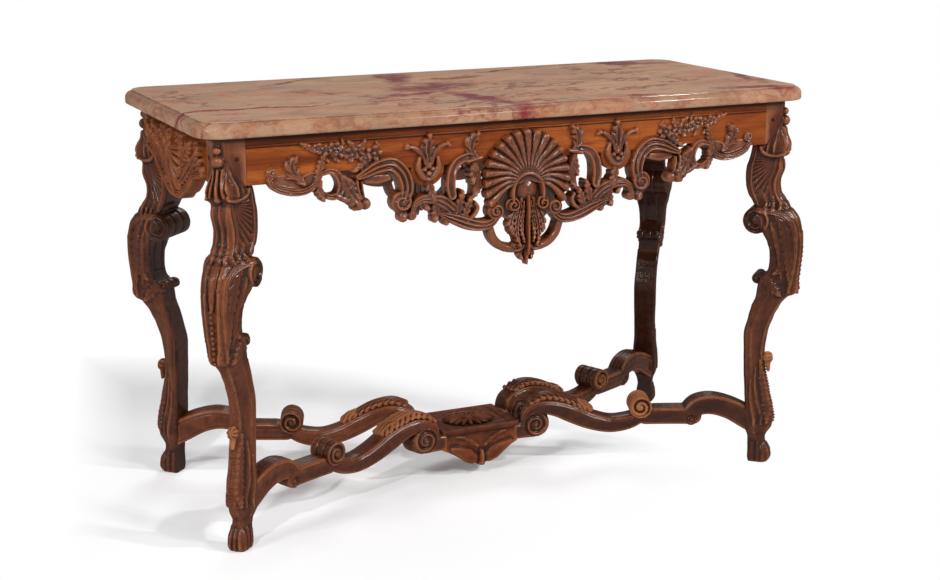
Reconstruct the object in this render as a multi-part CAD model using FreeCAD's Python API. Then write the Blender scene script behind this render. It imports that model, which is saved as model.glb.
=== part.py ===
import FreeCAD, Part
import math
import os
from FreeCAD import Vector

# Carved centre table: marble slab, four scroll legs on the diagonal, pierced aprons, X stretcher.
# Millimetres. X runs along the front, Y to the back, Z up; the origin is on the floor at the centre.

# Slab
table_height = 800.0
slab_length = 1260.0
slab_width = 580.0
slab_thickness = 28.0
slab_corner_radius = 52.0
slab_fillet_step = 3.0
slab_ovolo_radius = 13.0
slab_arris = 4.0

# Frame under the slab
slab_end_overhang = 33.0
slab_side_overhang = 28.0
post_size = 56.0
post_cant = 15.0
rail_depth = 88.0
field_depth = 74.0
apron_thickness = 20.0
apron_relief = 9.0
bead_width = 4.0
bead_drop = 17.0
bead_relief = 3.0
front_drawn_half = 541.0
end_drawn_half = 206.0
ground_margin = 2.0

# Joints
tenon_thickness = 10.0
tenon_length = 34.0
tenon_height = 60.0
tenon_drop = 14.0
tenon_back_offset = 4.0
joint_clearance = 0.15
peg_diameter = 8.0
peg_length = 30.0
peg_drop = 40.0

# Shell on the long aprons
shell_hinge_drop = 117.0
shell_half_width = 91.0
shell_height = 98.0
shell_flutes = 19
shell_sweep = 220.0
shell_thickness = 26.0
shell_notch = 7.0
shell_root_share = 0.33
hood_radius = 24.0
hood_drop = 128.0
twin_volute_radius = 15.0
twin_volute_offset = 31.0
twin_volute_drop = 161.0
drop_thickness = 19.0

# Legs
leg_turn = 45.0
leg_drawn_height = 684.0
knee_roll_radius = 27.0
knee_roll_length = 98.0
knee_roll_height = 527.0
knee_roll_inset = 12.0
knee_groove = 3.0
knee_eye_radius = 9.0
knee_eye_height = 3.0
heel_roll_radius = 11.0
heel_roll_length = 46.0
heel_roll_height = 402.0
heel_roll_inset = 9.0
post_bead_radius = 8.5
post_bead_drop = 36.0
ankle_knob_radius = 9.0
ankle_knob_length = 17.0
ankle_knob_height = 226.0
ankle_knob_lean = 12.0

# Stretcher
bar_height = 97.0
bar_depth = 37.0
arm_width = 46.0
arm_bow_x = 355.0
arm_bow_y = 112.0
arm_inner_y = 45.0
arm_drawn_chord = 518.0
arm_roll_radius = 24.0
arm_roll_length = 58.0
arm_roll_cap = 7.0
arm_roll_groove = 1.5
arm_head_radius = 28.0
arm_neck_rise = 9.0
arm_tenon_length = 24.0
arm_tenon_thickness = 14.0
arm_tenon_height = 30.0
platform_length = 174.0
platform_width = 136.0
platform_depth = 40.0
platform_rise = 8.0
platform_drop_depth = 40.0
platform_drop_thickness = 24.0
platform_step = 5.0
rosette_petals = 16
rosette_length = 104.0
rosette_width = 84.0
rosette_height = 5.0
rosette_notch = 6.0

# Straight facets that stand for carved curves
band_facet = 26.0
round_facets = 10
small_facets = 8
bead_facets = 6
bow_facets = 5
corner_facets = 6
ovolo_facets = 4

# Hidden pieces
bearer_offset = 215.0
bearer_width = 45.0
bearer_depth = 24.0
bearer_housing = 8.0
corner_block_leg = 105.0
corner_block_height = 42.0
corner_block_drop = 20.0
arm_peg_diameter = 7.0
arm_peg_setback = 10.0

# Places worked out from the sizes above
rail_top = table_height - slab_thickness
rail_bottom = rail_top - rail_depth
half_length = slab_length / 2 - slab_end_overhang
half_width = slab_width / 2 - slab_side_overhang
clear_half_length = half_length - post_size
clear_half_width = half_width - post_size
leg_x = half_length - post_size / 2
leg_y = half_width - post_size / 2
platform_top = bar_height + platform_rise
platform_half = platform_length / 2

CORNERS = {
    "back_right": (1, 1),
    "back_left": (-1, 1),
    "front_right": (1, -1),
    "front_left": (-1, -1),
}


def spline(points):
    curve = Part.BSplineCurve()
    curve.interpolate(points)
    return curve


def flat(point):
    """A drawing point (across, up) as a point of the XZ plane."""
    return Vector(point[0], 0, point[1])


def ribbon(stations):
    """Face of a tapering scroll band; each station is (across, up, width)."""
    points = [flat(s) for s in stations]
    centre = spline(points)
    rows = []
    for k in range(len(stations) - 1):
        start = centre.parameter(points[k])
        end = centre.parameter(points[k + 1])
        parts = max(1, round(points[k].distanceToPoint(points[k + 1]) / band_facet))
        for part in range(parts):
            share = part / parts
            width = stations[k][2] + (stations[k + 1][2] - stations[k][2]) * share
            rows.append((start + (end - start) * share, width))
    rows.append((centre.LastParameter, stations[-1][2]))
    left = []
    right = []
    for at, width in rows:
        tangent = centre.tangent(at)[0]
        side = Vector(-tangent.z, 0, tangent.x) * (width / 2)
        left.append(centre.value(at) + side)
        right.append(centre.value(at) - side)
    head = points[-1] + centre.tangent(centre.LastParameter)[0] * (stations[-1][2] / 2)
    tail = points[0] - centre.tangent(centre.FirstParameter)[0] * (stations[0][2] / 2)
    outline = left + [head] + right[::-1] + [tail]
    return Part.Face(Part.makePolygon(outline + outline[:1]))


def ring(radius, count):
    """Points of a regular outline as (across, up)."""
    angles = [2 * math.pi * (k + 0.5) / count for k in range(count)]
    return [(radius * math.cos(a), radius * math.sin(a)) for a in angles]


def disc(across, up, radius):
    return polygon([(across + x, up + z) for x, z in ring(radius, small_facets)])


def skin(rings):
    """Solid through a row of flat rings of points, each ring with the same count of points."""
    faces = [Part.Face(Part.makePolygon(end + end[:1])) for end in (rings[0], rings[-1])]
    for low, high in zip(rings, rings[1:]):
        for k in range(len(low)):
            following = (k + 1) % len(low)
            first = [low[k], low[following], high[following]]
            second = [low[k], high[following], high[k]]
            for corners in (first, second):
                faces.append(Part.Face(Part.makePolygon(corners + corners[:1])))
    solid = Part.Solid(Part.Shell(faces))
    if solid.Volume < 0:
        solid.reverse()
    return solid


def lathe(profile, count, root, axis):
    """Faceted turned form; profile is (distance along the axis, radius)."""
    rings = []
    turn = FreeCAD.Rotation(Vector(0, 0, 1), axis)
    for along, radius in profile:
        flat_ring = [Vector(x, y, along) for x, y in ring(radius, count)]
        rings.append([root + turn.multVec(point) for point in flat_ring])
    return skin(rings)


def polygon(points):
    corners = [flat(p) for p in points]
    return Part.Face(Part.makePolygon(corners + corners[:1]))


def rectangle(left, right, bottom, top):
    return polygon([(left, bottom), (right, bottom), (right, top), (left, top)])


def joined(shapes):
    first, rest = shapes[0], shapes[1:]
    return first.multiFuse(rest).removeSplitter() if rest else first


def thick(face, front, back):
    """Solid of a face of the XZ plane between two distances along Y."""
    copy = face.copy()
    copy.translate(Vector(0, front, 0))
    return copy.extrude(Vector(0, back - front, 0))


def sawn(faces, front, back):
    """One solid of overlapping faces of the XZ plane, cut through the same thickness."""
    return joined([thick(face, front, back) for face in faces])


def box(x0, x1, y0, y1, z0, z1):
    return Part.makeBox(x1 - x0, y1 - y0, z1 - z0, Vector(x0, y0, z0))


def turned(shape, angle):
    copy = shape.copy()
    copy.rotate(Vector(0, 0, 0), Vector(0, 0, 1), angle)
    return copy


def moved(shape, x, y, z=0):
    copy = shape.copy()
    copy.translate(Vector(x, y, z))
    return copy


def flipped(shape, sign_x, sign_y):
    """Copy of a back right shape in another quarter of the table."""
    if sign_x < 0:
        shape = shape.mirror(Vector(0, 0, 0), Vector(1, 0, 0))
    if sign_y < 0:
        shape = shape.mirror(Vector(0, 0, 0), Vector(0, 1, 0))
    return shape


def largest(shape):
    return max(shape.Solids, key=lambda solid: solid.Volume)


def both_sides(faces):
    return faces + [f.mirror(Vector(0, 0, 0), Vector(1, 0, 0)) for f in faces]


def slab_ring(inset, z):
    """Rounded outline of the slab, drawn in from its edge."""
    radius = slab_corner_radius - inset
    points = []
    for quarter, (sx, sy) in enumerate([(1, 1), (-1, 1), (-1, -1), (1, -1)]):
        centre_x = sx * (slab_length / 2 - slab_corner_radius)
        centre_y = sy * (slab_width / 2 - slab_corner_radius)
        for k in range(corner_facets + 1):
            angle = math.pi / 2 * (quarter + k / corner_facets)
            across = radius * math.cos(angle)
            deep = radius * math.sin(angle)
            points.append(Vector(centre_x + across, centre_y + deep, z))
    return points


def marble_top():
    """Slab with a rounded lower arris, an ovolo edge and a small step up to the polished field."""
    bottom = table_height - slab_thickness
    shoulder = table_height - slab_fillet_step
    rings = [slab_ring(slab_arris, bottom), slab_ring(0, bottom + slab_arris)]
    for k in range(ovolo_facets + 1):
        angle = math.pi / 2 * k / ovolo_facets
        rings.append(slab_ring(slab_ovolo_radius * (1 - math.cos(angle)),
                               shoulder - slab_ovolo_radius * (1 - math.sin(angle))))
    rings.append(slab_ring(slab_ovolo_radius, table_height))
    return skin(rings)


def scroll_faces(bands, discs, stretch):
    """Faces of the ornament; heights are given as depths under the rail top."""
    faces = []
    for band in bands:
        faces.append(ribbon([(x * stretch, rail_top - depth, width) for x, depth, width in band]))
    for x, depth, radius in discs:
        faces.append(disc(x * stretch, rail_top - depth, radius))
    return faces


# Long apron ornament, right half: bands of (across, depth, width) and discs of (across, depth, radius)
LONG_BANDS = [
    # end C-scroll
    [(501, 84, 13), (487, 97, 17), (462, 105, 22), (440, 103, 23), (424, 84, 16), (427, 66, 8)],
    # stem leaf beside the oval opening
    [(409, 52, 8), (414, 82, 14), (410, 107, 14), (404, 124, 6)],
    # ring round the oval opening
    [(405, 74, 10), (386, 69, 12), (367, 82, 13), (362, 104, 14), (374, 120, 13), (396, 121, 12)],
    # leaf pendant
    [(352, 118, 24), (338, 131, 24), (326, 139, 18)],
    # great arch
    [(342, 98, 14), (322, 90, 26), (295, 85, 38), (268, 87, 36), (250, 104, 30), (243, 124, 24),
     (246, 140, 20)],
    # leaf under the arch volute
    [(241, 142, 20), (240, 162, 16)],
    # acanthus branch
    [(231, 160, 8), (227, 146, 12), (210, 138, 18), (188, 140, 24), (165, 152, 26), (148, 167, 22)],
    # stem of the branch
    [(198, 108, 20), (193, 126, 18), (186, 141, 18)],
    # lower C-scroll
    [(62, 183, 14), (70, 197, 22), (90, 202, 30), (118, 194, 30), (145, 180, 22), (176, 173, 8)],
    # strap
    [(112, 67, 14), (130, 72, 16), (143, 87, 18), (148, 112, 19), (146, 137, 19), (138, 160, 20),
     (122, 180, 20)],
    # husk spray
    [(104, 34, 10), (94, 57, 18), (92, 87, 22), (98, 112, 20), (115, 127, 18), (135, 140, 16)],
    # loop under the shell
    [(70, 210, 18), (60, 232, 17), (45, 244, 16), (28, 250, 15), (6, 247, 14)],
]
LONG_DISCS = [
    (497, 73, 9), (351, 107, 19), (326, 140, 12), (256, 142, 19), (248, 168, 10), (64, 174, 14),
    (108, 172, 12),
]
SHELL_DROP = [(0, 160, 88), (0, 185, 84), (0, 208, 72), (0, 230, 46), (0, 250, 36), (0, 268, 22),
              (0, 279, 6)]
# Dome of the shell and of the rosette: (share of the height, share of the reach)
SHELL_DOME = [(0, 1.0), (0.42, 1.0), (0.8, 0.8), (1.0, 0.42)]
ROSETTE_DOME = [(0, 1.0), (0.6, 0.9), (1.0, 0.25)]
HOOD_DOME = [(0, 1.0), (0.65, 1.0), (1.0, 0.82), (1.2, 0.45)]
LONG_APRON = {
    "bands": LONG_BANDS,
    "discs": LONG_DISCS,
    "drops": [],
    "tongues": [(198, 82, 33)],
    "ground_bands": [[(x, depth, width - 2 * ground_margin) for x, depth, width in SHELL_DROP[:-1]]],
    "ground_discs": [(0, 105, 84)],
    "plain_end": 505,
}

# End apron ornament, half
END_APRON = {
    "bands": [
        # end C-scroll
        [(180, 86, 12), (166, 101, 17), (143, 108, 22), (121, 99, 18), (116, 80, 10)],
        # great scroll
        [(116, 96, 14), (104, 118, 24), (78, 132, 28), (52, 124, 22), (44, 106, 14)],
        # lower leaf
        [(80, 140, 14), (54, 148, 22), (26, 152, 24), (6, 150, 20)],
    ],
    "discs": [(177, 78, 8), (56, 110, 13)],
    "drops": [[(0, 96, 70), (0, 124, 56), (0, 148, 36), (0, 164, 22), (0, 176, 6)]],
    "tongues": [],
    "ground_bands": [],
    "ground_discs": [],
    "plain_end": 186,
}


def apron_blank(clear_half, drawn_half, drawing):
    """Apron in its own frame: front face at Y zero, ornament proud of it, tenons at both ends."""
    stretch = clear_half / drawn_half
    ornament = both_sides(scroll_faces(drawing["bands"], drawing["discs"], stretch))
    ornament += scroll_faces(drawing["drops"], [], stretch)
    field = [rectangle(-clear_half, clear_half, rail_top - field_depth, rail_top)]
    tenons = []
    tenon_top = rail_top - tenon_drop
    for sign in (-1, 1):
        ends = sorted((sign * drawing["plain_end"] * stretch, sign * clear_half))
        field.append(rectangle(ends[0], ends[1], rail_bottom, rail_top))
        ends = sorted((sign * clear_half, sign * (clear_half + tenon_length)))
        tenons.append(box(ends[0], ends[1], tenon_back_offset, tenon_back_offset + tenon_thickness,
                          tenon_top - tenon_height, tenon_top))
    field += both_sides(scroll_faces([], drawing["tongues"], stretch))
    field += scroll_faces(drawing["ground_bands"], drawing["ground_discs"], stretch)
    board = sawn(field, 0, apron_thickness)
    carving = sawn(ornament, -apron_relief, apron_thickness)
    bead_top = rail_top - bead_drop
    bead = box(-clear_half, clear_half, -bead_relief, apron_thickness / 2,
               bead_top - bead_width, bead_top)
    return joined([board, carving, bead] + tenons)


def fan(hinge, radii, sweep, count, notch, levels):
    """Fluted fan of stacked star outlines; levels are (height, share of the reach)."""
    rings = []
    whole = sweep >= 360
    steps = 2 * count if whole else 2 * count + 1
    for height, share in levels:
        points = []
        for k in range(steps):
            angle = math.radians(90 - sweep / 2 + sweep * k / (2 * count))
            dip = notch if k % 2 == 0 else 0
            across = (radii[0] - dip) * share * math.cos(angle)
            up = (radii[1] - dip) * share * math.sin(angle)
            points.append(Vector(hinge[0] + across, -height, hinge[1] + up))
        if not whole:
            points.append(Vector(hinge[0], -height, hinge[1] - radii[1] * share * shell_root_share))
        rings.append(points)
    return skin(rings)


def shell_forms():
    """Shell fan, acanthus drop, hood and twin volutes with their flat backs at Y zero."""
    hinge = (0, rail_top - shell_hinge_drop)
    levels = [(share * shell_thickness, reach) for share, reach in SHELL_DOME]
    shell = fan(hinge, (shell_half_width, shell_height), shell_sweep, shell_flutes, shell_notch, levels)
    stretch = clear_half_length / front_drawn_half
    drop = thick(scroll_faces([SHELL_DROP], [], stretch)[0], -drop_thickness, 0)
    hood_profile = [(along * hood_radius, reach * hood_radius) for along, reach in HOOD_DOME]
    hood = lathe(hood_profile, round_facets, Vector(0, 0, rail_top - hood_drop), Vector(0, -1, 0))
    forms = [shell, drop, hood]
    for sign in (-1, 1):
        face = disc(sign * twin_volute_offset * stretch, rail_top - twin_volute_drop, twin_volute_radius)
        forms.append(thick(face, -shell_thickness, 0))
    return forms


def leg_z(height):
    """Height of a leg station after the leg is stretched to the rail."""
    return height * rail_bottom / leg_drawn_height


# Sections of the lower scroll, foot to knee:
# (height, back, shoulder, front, half width at the back, half width at the front)
LOWER_SCROLL = [
    (0, -14, 2, 24, 20, 6), (10, -17, 0, 30, 23, 7), (26, -18, -2, 29, 22, 7), (46, -19, -6, 17, 18, 5),
    (58, -19, -6, 16, 18, 5), (80, -24, -5, 29, 26, 5), (100, -24, -5, 33, 26, 5),
    (122, -25, -6, 29, 26, 5), (160, -28, -12, 20, 23, 5), (205, -31, -16, 11, 23, 5),
    (245, -32, -17, 9, 24, 5), (285, -33, -17, 14, 24, 5), (320, -25, -8, 25, 23, 6),
    (340, -20, -1, 35, 23, 7), (364, -11, 11, 53, 23, 10), (370, -10, 14, 66, 23, 12),
    (400, -5, 21, 70, 23, 15), (420, 12, 32, 72, 25, 16), (462, 15, 32, 75, 29, 17),
    (482, 11, 24, 75, 37, 17), (502, 3, 11, 74, 45, 17), (526, -12, 0, 69, 48, 17),
    (544, -12, -2, 57, 47, 17), (560, -12, -6, 30, 36, 16),
]
# Sections of the upper scroll, knee to cap
UPPER_SCROLL = [
    (546, -16, -8, 45, 34, 17), (566, -22, -12, 37, 34, 16), (582, -32, -18, 26, 35, 16),
    (602, -37, -22, 24, 35, 15), (634, -37, -21, 33, 35, 15), (654, -31, -16, 31, 35, 16),
    (660, -29, -12, 37, 35, 22), (676, -27, -8, 40, 34, 23), (704, -24, -8, 31, 26, 18),
]
# Round forms: (share of the radius along the axis, share of the radius across)
BALL = [(-0.9, 0.42), (-0.4, 0.92), (0.4, 0.92), (0.9, 0.42)]
KNOB_NECK = 0.65


def wedge(sections):
    """Solid through sections with a wide back and a narrow front ridge."""
    rings = []
    for height, back, shoulder, front, half_back, half_front in sections:
        plan = [(back, -half_back), (shoulder, -half_back), (front, -half_front),
                (front, half_front), (shoulder, half_back), (back, half_back)]
        rings.append([Vector(d, t, leg_z(height)) for d, t in plan])
    return skin(rings)


def rolled(radius, length, groove):
    """Scroll roll lying across, with a sunk band round its middle."""
    half = length / 2
    sixth = half / 3
    profile = [(-half, radius), (-sixth - groove, radius), (-sixth, radius - groove),
               (sixth, radius - groove), (sixth + groove, radius), (half, radius)]
    return lathe(profile, round_facets, Vector(0, 0, 0), Vector(0, 1, 0))


def leg_parts():
    """Leg of the back right corner and its ankle knob, before the mortises."""
    roll_z = leg_z(knee_roll_height)
    roll = moved(rolled(knee_roll_radius, knee_roll_length, knee_groove), -knee_roll_inset, 0, roll_z)
    eye_reach = knee_roll_length / 2 + knee_eye_height
    eyes = lathe([(-eye_reach, knee_eye_radius), (eye_reach, knee_eye_radius)], bead_facets,
                 Vector(-knee_roll_inset, 0, roll_z), Vector(0, 1, 0))
    heel = lathe([(-heel_roll_length / 2, heel_roll_radius), (heel_roll_length / 2, heel_roll_radius)],
                 round_facets, Vector(-heel_roll_inset, 0, leg_z(heel_roll_height)), Vector(0, 1, 0))
    cant_reach = (post_size - post_cant) / math.sqrt(2)
    bead_profile = [(along * post_bead_radius, reach * post_bead_radius) for along, reach in BALL]
    bead = lathe(bead_profile, bead_facets, Vector(cant_reach, 0, rail_top - post_bead_drop),
                 Vector(1, 0, 0))
    scroll = joined([wedge(LOWER_SCROLL), wedge(UPPER_SCROLL), roll, eyes, heel, bead])
    scroll = turned(scroll, leg_turn)

    half = post_size / 2
    post = Part.Face(Part.makePolygon([
        Vector(-half, -half, 0), Vector(half, -half, 0), Vector(half, half - post_cant, 0),
        Vector(half - post_cant, half, 0), Vector(-half, half, 0), Vector(-half, -half, 0)]))
    post = moved(post.extrude(Vector(0, 0, rail_depth)), 0, 0, rail_bottom)
    leg = moved(joined([scroll, post]), leg_x, leg_y)

    lean = math.radians(ankle_knob_lean)
    shaft = Vector(math.cos(lean), 0, math.sin(lean))
    root = Vector(0, 0, leg_z(ankle_knob_height))
    knob_profile = [(0, ankle_knob_radius * KNOB_NECK)]
    knob_profile += [(ankle_knob_length + along * ankle_knob_radius, reach * ankle_knob_radius)
                     for along, reach in BALL]
    knob = lathe(knob_profile, bead_facets, root, shaft)
    knob = moved(turned(knob, leg_turn), leg_x, leg_y)
    return leg, largest(knob.cut(leg))


# Stretcher arm in its own drawing: along from the platform, height above the bar centre
ARM_SCROLL = [(17, -4, 22), (28, 22, 26), (55, 31, 30), (90, 25, 36), (125, 10, 40), (163, -7, 38),
              (203, -17, 35), (238, -13, 34), (262, -1, 28), (273, 17, 18)]
ARM_ARCH = [(368, 3, 28), (390, 20, 38), (420, 25, 42), (455, 17, 44), (490, 0, 48), (516, -14, 48)]
ARM_HEAD = (45, -5)
ARM_ROLL = (268, 21)
ARM_ARCH_EYE = (376, -9, 12)
ARM_BAR = (235, 380)
ARM_LEAF = [(34, 41, 8), (62, 51, 9), (96, 46, 10), (126, 33, 10), (150, 19, 6)]
ARM_TIP = [(136, 31, 6), (150, 24, 10), (162, 16, 8)]


def arm_path():
    """Bowed plan centre line of the back right arm, from the platform end to the leg."""
    stretch_x = clear_half_length / front_drawn_half
    stretch_y = clear_half_width / end_drawn_half
    start = Vector(platform_half, arm_inner_y, 0)
    bow = Vector(arm_bow_x * stretch_x, arm_bow_y * stretch_y, 0)
    return Part.Arc(start, bow, Vector(leg_x, leg_y, 0)).toShape()


def arm_frame():
    """Start, turn and length of the arm's chord in plan."""
    path = arm_path()
    start = path.valueAt(path.FirstParameter)
    chord = path.valueAt(path.LastParameter) - start
    return start, math.degrees(math.atan2(chord.y, chord.x)), chord.Length


def arm_place(shape):
    """Shape of the arm's own drawing set along the chord."""
    start, angle, _ = arm_frame()
    return moved(turned(shape, angle), start.x, start.y)


def arm_station(station):
    """Drawing station (along, above the bar, width) at its real place along the chord."""
    stretch = arm_frame()[2] / arm_drawn_chord
    return (station[0] * stretch, bar_height + station[1]) + tuple(station[2:])


def arm_point(along):
    """Plan point and heading of the arm's centre line at a share of its length."""
    path = arm_path()
    at = path.FirstParameter + (path.LastParameter - path.FirstParameter) * along
    tangent = path.tangentAt(at)
    return path.valueAt(at), tangent


def arm_band():
    """Bowed plan of the arm as an upright band of the arm's width."""
    outer = []
    inner = []
    for k in range(bow_facets + 1):
        point, tangent = arm_point(k / bow_facets)
        side = Vector(-tangent.y, tangent.x, 0).normalize() * (arm_width / 2)
        outer.append(point + side)
        inner.append(point - side)
    back = arm_point(0)[1].normalize() * platform_half
    plan = [outer[0] - back] + outer + inner[::-1] + [inner[0] - back]
    return Part.Face(Part.makePolygon(plan + plan[:1])).extrude(Vector(0, 0, rail_bottom))


def arm_forms(leg):
    """Back right arm, coped to its leg, with its leaf, leaf tip, roll and roll cap as blanks."""
    deep = arm_width * 2
    head = arm_station(ARM_HEAD)
    eye = arm_station(ARM_ARCH_EYE)
    bar = [arm_station((along, 0))[0] for along in ARM_BAR]
    faces = [
        ribbon([arm_station(s) for s in ARM_SCROLL]),
        ribbon([arm_station(s) for s in ARM_ARCH]),
        disc(head[0], head[1], arm_head_radius),
        disc(eye[0], eye[1], eye[2]),
        rectangle(bar[0], bar[1], bar_height - bar_depth / 2, bar_height + bar_depth / 2),
        rectangle(-platform_half, head[0], head[1] - arm_head_radius, head[1] + arm_neck_rise),
    ]
    band = arm_band()
    beyond_platform = box(platform_half, half_length, -half_width, half_width, 0, rail_bottom)
    body = arm_place(sawn(faces, -deep, deep)).common(band).common(beyond_platform)
    body = largest(body.cut(leg))
    leaf = arm_place(thick(ribbon([arm_station(s) for s in ARM_LEAF]), -deep, deep)).common(band)
    tip = arm_place(thick(ribbon([arm_station(s) for s in ARM_TIP]), -deep, deep)).common(band)

    roll_along, roll_z = arm_station(ARM_ROLL)
    point, tangent = arm_point(roll_along / arm_frame()[2])
    heading = math.degrees(math.atan2(tangent.y, tangent.x))
    roll = rolled(arm_roll_radius, arm_roll_length, arm_roll_groove)
    cap_start = Vector(0, -arm_roll_length / 2 - arm_roll_cap, 0)
    cap = lathe([(0, arm_roll_radius), (arm_roll_cap, arm_roll_radius)], round_facets, cap_start,
                Vector(0, 1, 0))
    roll = moved(turned(roll, heading), point.x, point.y, roll_z)
    cap = moved(turned(cap, heading), point.x, point.y, roll_z)
    return {"body": body, "leaf": leaf, "tip": tip, "roll": roll, "cap": cap}


def arm_tenons(grow):
    """Tenons of the back right arm in the platform and in the leg, grown by a clearance."""
    half = arm_tenon_thickness / 2 + grow
    tall = arm_tenon_height / 2 + grow
    inner_z = bar_height + ARM_HEAD[1]
    inner = box(platform_half - arm_tenon_length - grow, platform_half + arm_head_radius,
                arm_inner_y - half, arm_inner_y + half, inner_z - tall, inner_z + tall)
    length = arm_frame()[2]
    outer = box(length - arm_width, length + grow, -half, half, bar_height - tall, bar_height + tall)
    return [inner, arm_place(outer)]


# Lower edge of the platform's shaped drop: (share of its half length, share of its depth)
PLATFORM_DROP = [(0, 1.0), (0.14, 0.9), (0.3, 0.62), (0.6, 0.3), (1.0, 0)]


def platform():
    half_x = platform_half
    half_y = platform_width / 2
    bottom = platform_top - platform_depth
    block = box(-half_x, half_x, -half_y, half_y, bottom, platform_top)
    drop_half = half_x - platform_step
    edge = [(across * drop_half, bottom - low * platform_drop_depth) for across, low in PLATFORM_DROP]
    mirror_edge = [(-across, low) for across, low in edge[::-1]]
    top = bottom + platform_step
    brackets = polygon([(-drop_half, top)] + mirror_edge + edge[1:] + [(drop_half, top)])
    front = thick(brackets, -half_y, -half_y + platform_drop_thickness)
    back = thick(brackets, half_y - platform_drop_thickness, half_y)
    levels = [(share * rosette_height, reach) for share, reach in ROSETTE_DOME]
    reach = (rosette_length / 2, rosette_width / 2)
    rosette = fan((0, 0), reach, 360, rosette_petals, rosette_notch, levels)
    rosette.rotate(Vector(0, 0, 0), Vector(1, 0, 0), -90)
    rosette.translate(Vector(0, 0, platform_top))
    return block.multiFuse([front, back, rosette]).removeSplitter()


def corner_block():
    """Glued block behind the back right corner, fitted round the post."""
    inner_x = half_length - apron_thickness
    inner_y = half_width - apron_thickness
    plan = Part.Face(Part.makePolygon([
        Vector(inner_x, inner_y, 0), Vector(inner_x - corner_block_leg, inner_y, 0),
        Vector(inner_x, inner_y - corner_block_leg, 0), Vector(inner_x, inner_y, 0)]))
    block = plan.extrude(Vector(0, 0, corner_block_height))
    block = moved(block, 0, 0, rail_top - corner_block_drop - corner_block_height)
    post = box(clear_half_length, half_length, clear_half_width, half_width, 0, rail_top)
    return largest(block.cut(post))


def bearer(grow):
    """Cross bearer right of the centre, housed in the long aprons."""
    reach = half_width - apron_thickness + bearer_housing + grow
    half = bearer_width / 2 + grow
    return box(bearer_offset - half, bearer_offset + half, -reach, reach,
               rail_top - bearer_depth - grow, rail_top)


def apron_mortises():
    """Mortises of the back right post for the tenons of its two aprons."""
    grow = joint_clearance
    top = rail_top - tenon_drop + grow
    low = rail_top - tenon_drop - tenon_height - grow
    long_y = half_width - tenon_back_offset
    side_x = half_length - tenon_back_offset
    return [
        box(clear_half_length, clear_half_length + tenon_length + grow,
            long_y - tenon_thickness - grow, long_y + grow, low, top),
        box(side_x - tenon_thickness - grow, side_x + grow,
            clear_half_width, clear_half_width + tenon_length + grow, low, top),
    ]


def apron_pegs():
    """Pegs of the back right post, from its outer faces through the tenons."""
    z = rail_top - peg_drop
    radius = peg_diameter / 2
    long_start = Vector(clear_half_length + tenon_length / 2, half_width - peg_length, z)
    side_start = Vector(half_length - peg_length, clear_half_width + tenon_length / 2, z)
    return [
        lathe([(0, radius), (peg_length, radius)], small_facets, long_start, Vector(0, 1, 0)),
        lathe([(0, radius), (peg_length, radius)], small_facets, side_start, Vector(1, 0, 0)),
    ]


def arm_peg(leg):
    """Peg across the back right leg through the arm tenon, flush with the leg's flanks."""
    length = arm_frame()[2]
    along = length - arm_peg_setback
    radius = arm_peg_diameter / 2
    rod = lathe([(-arm_width, radius), (arm_width, radius)], small_facets, Vector(along, 0, bar_height),
                Vector(0, 1, 0))
    rod = arm_place(rod)
    return rod, rod.common(leg)


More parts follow.
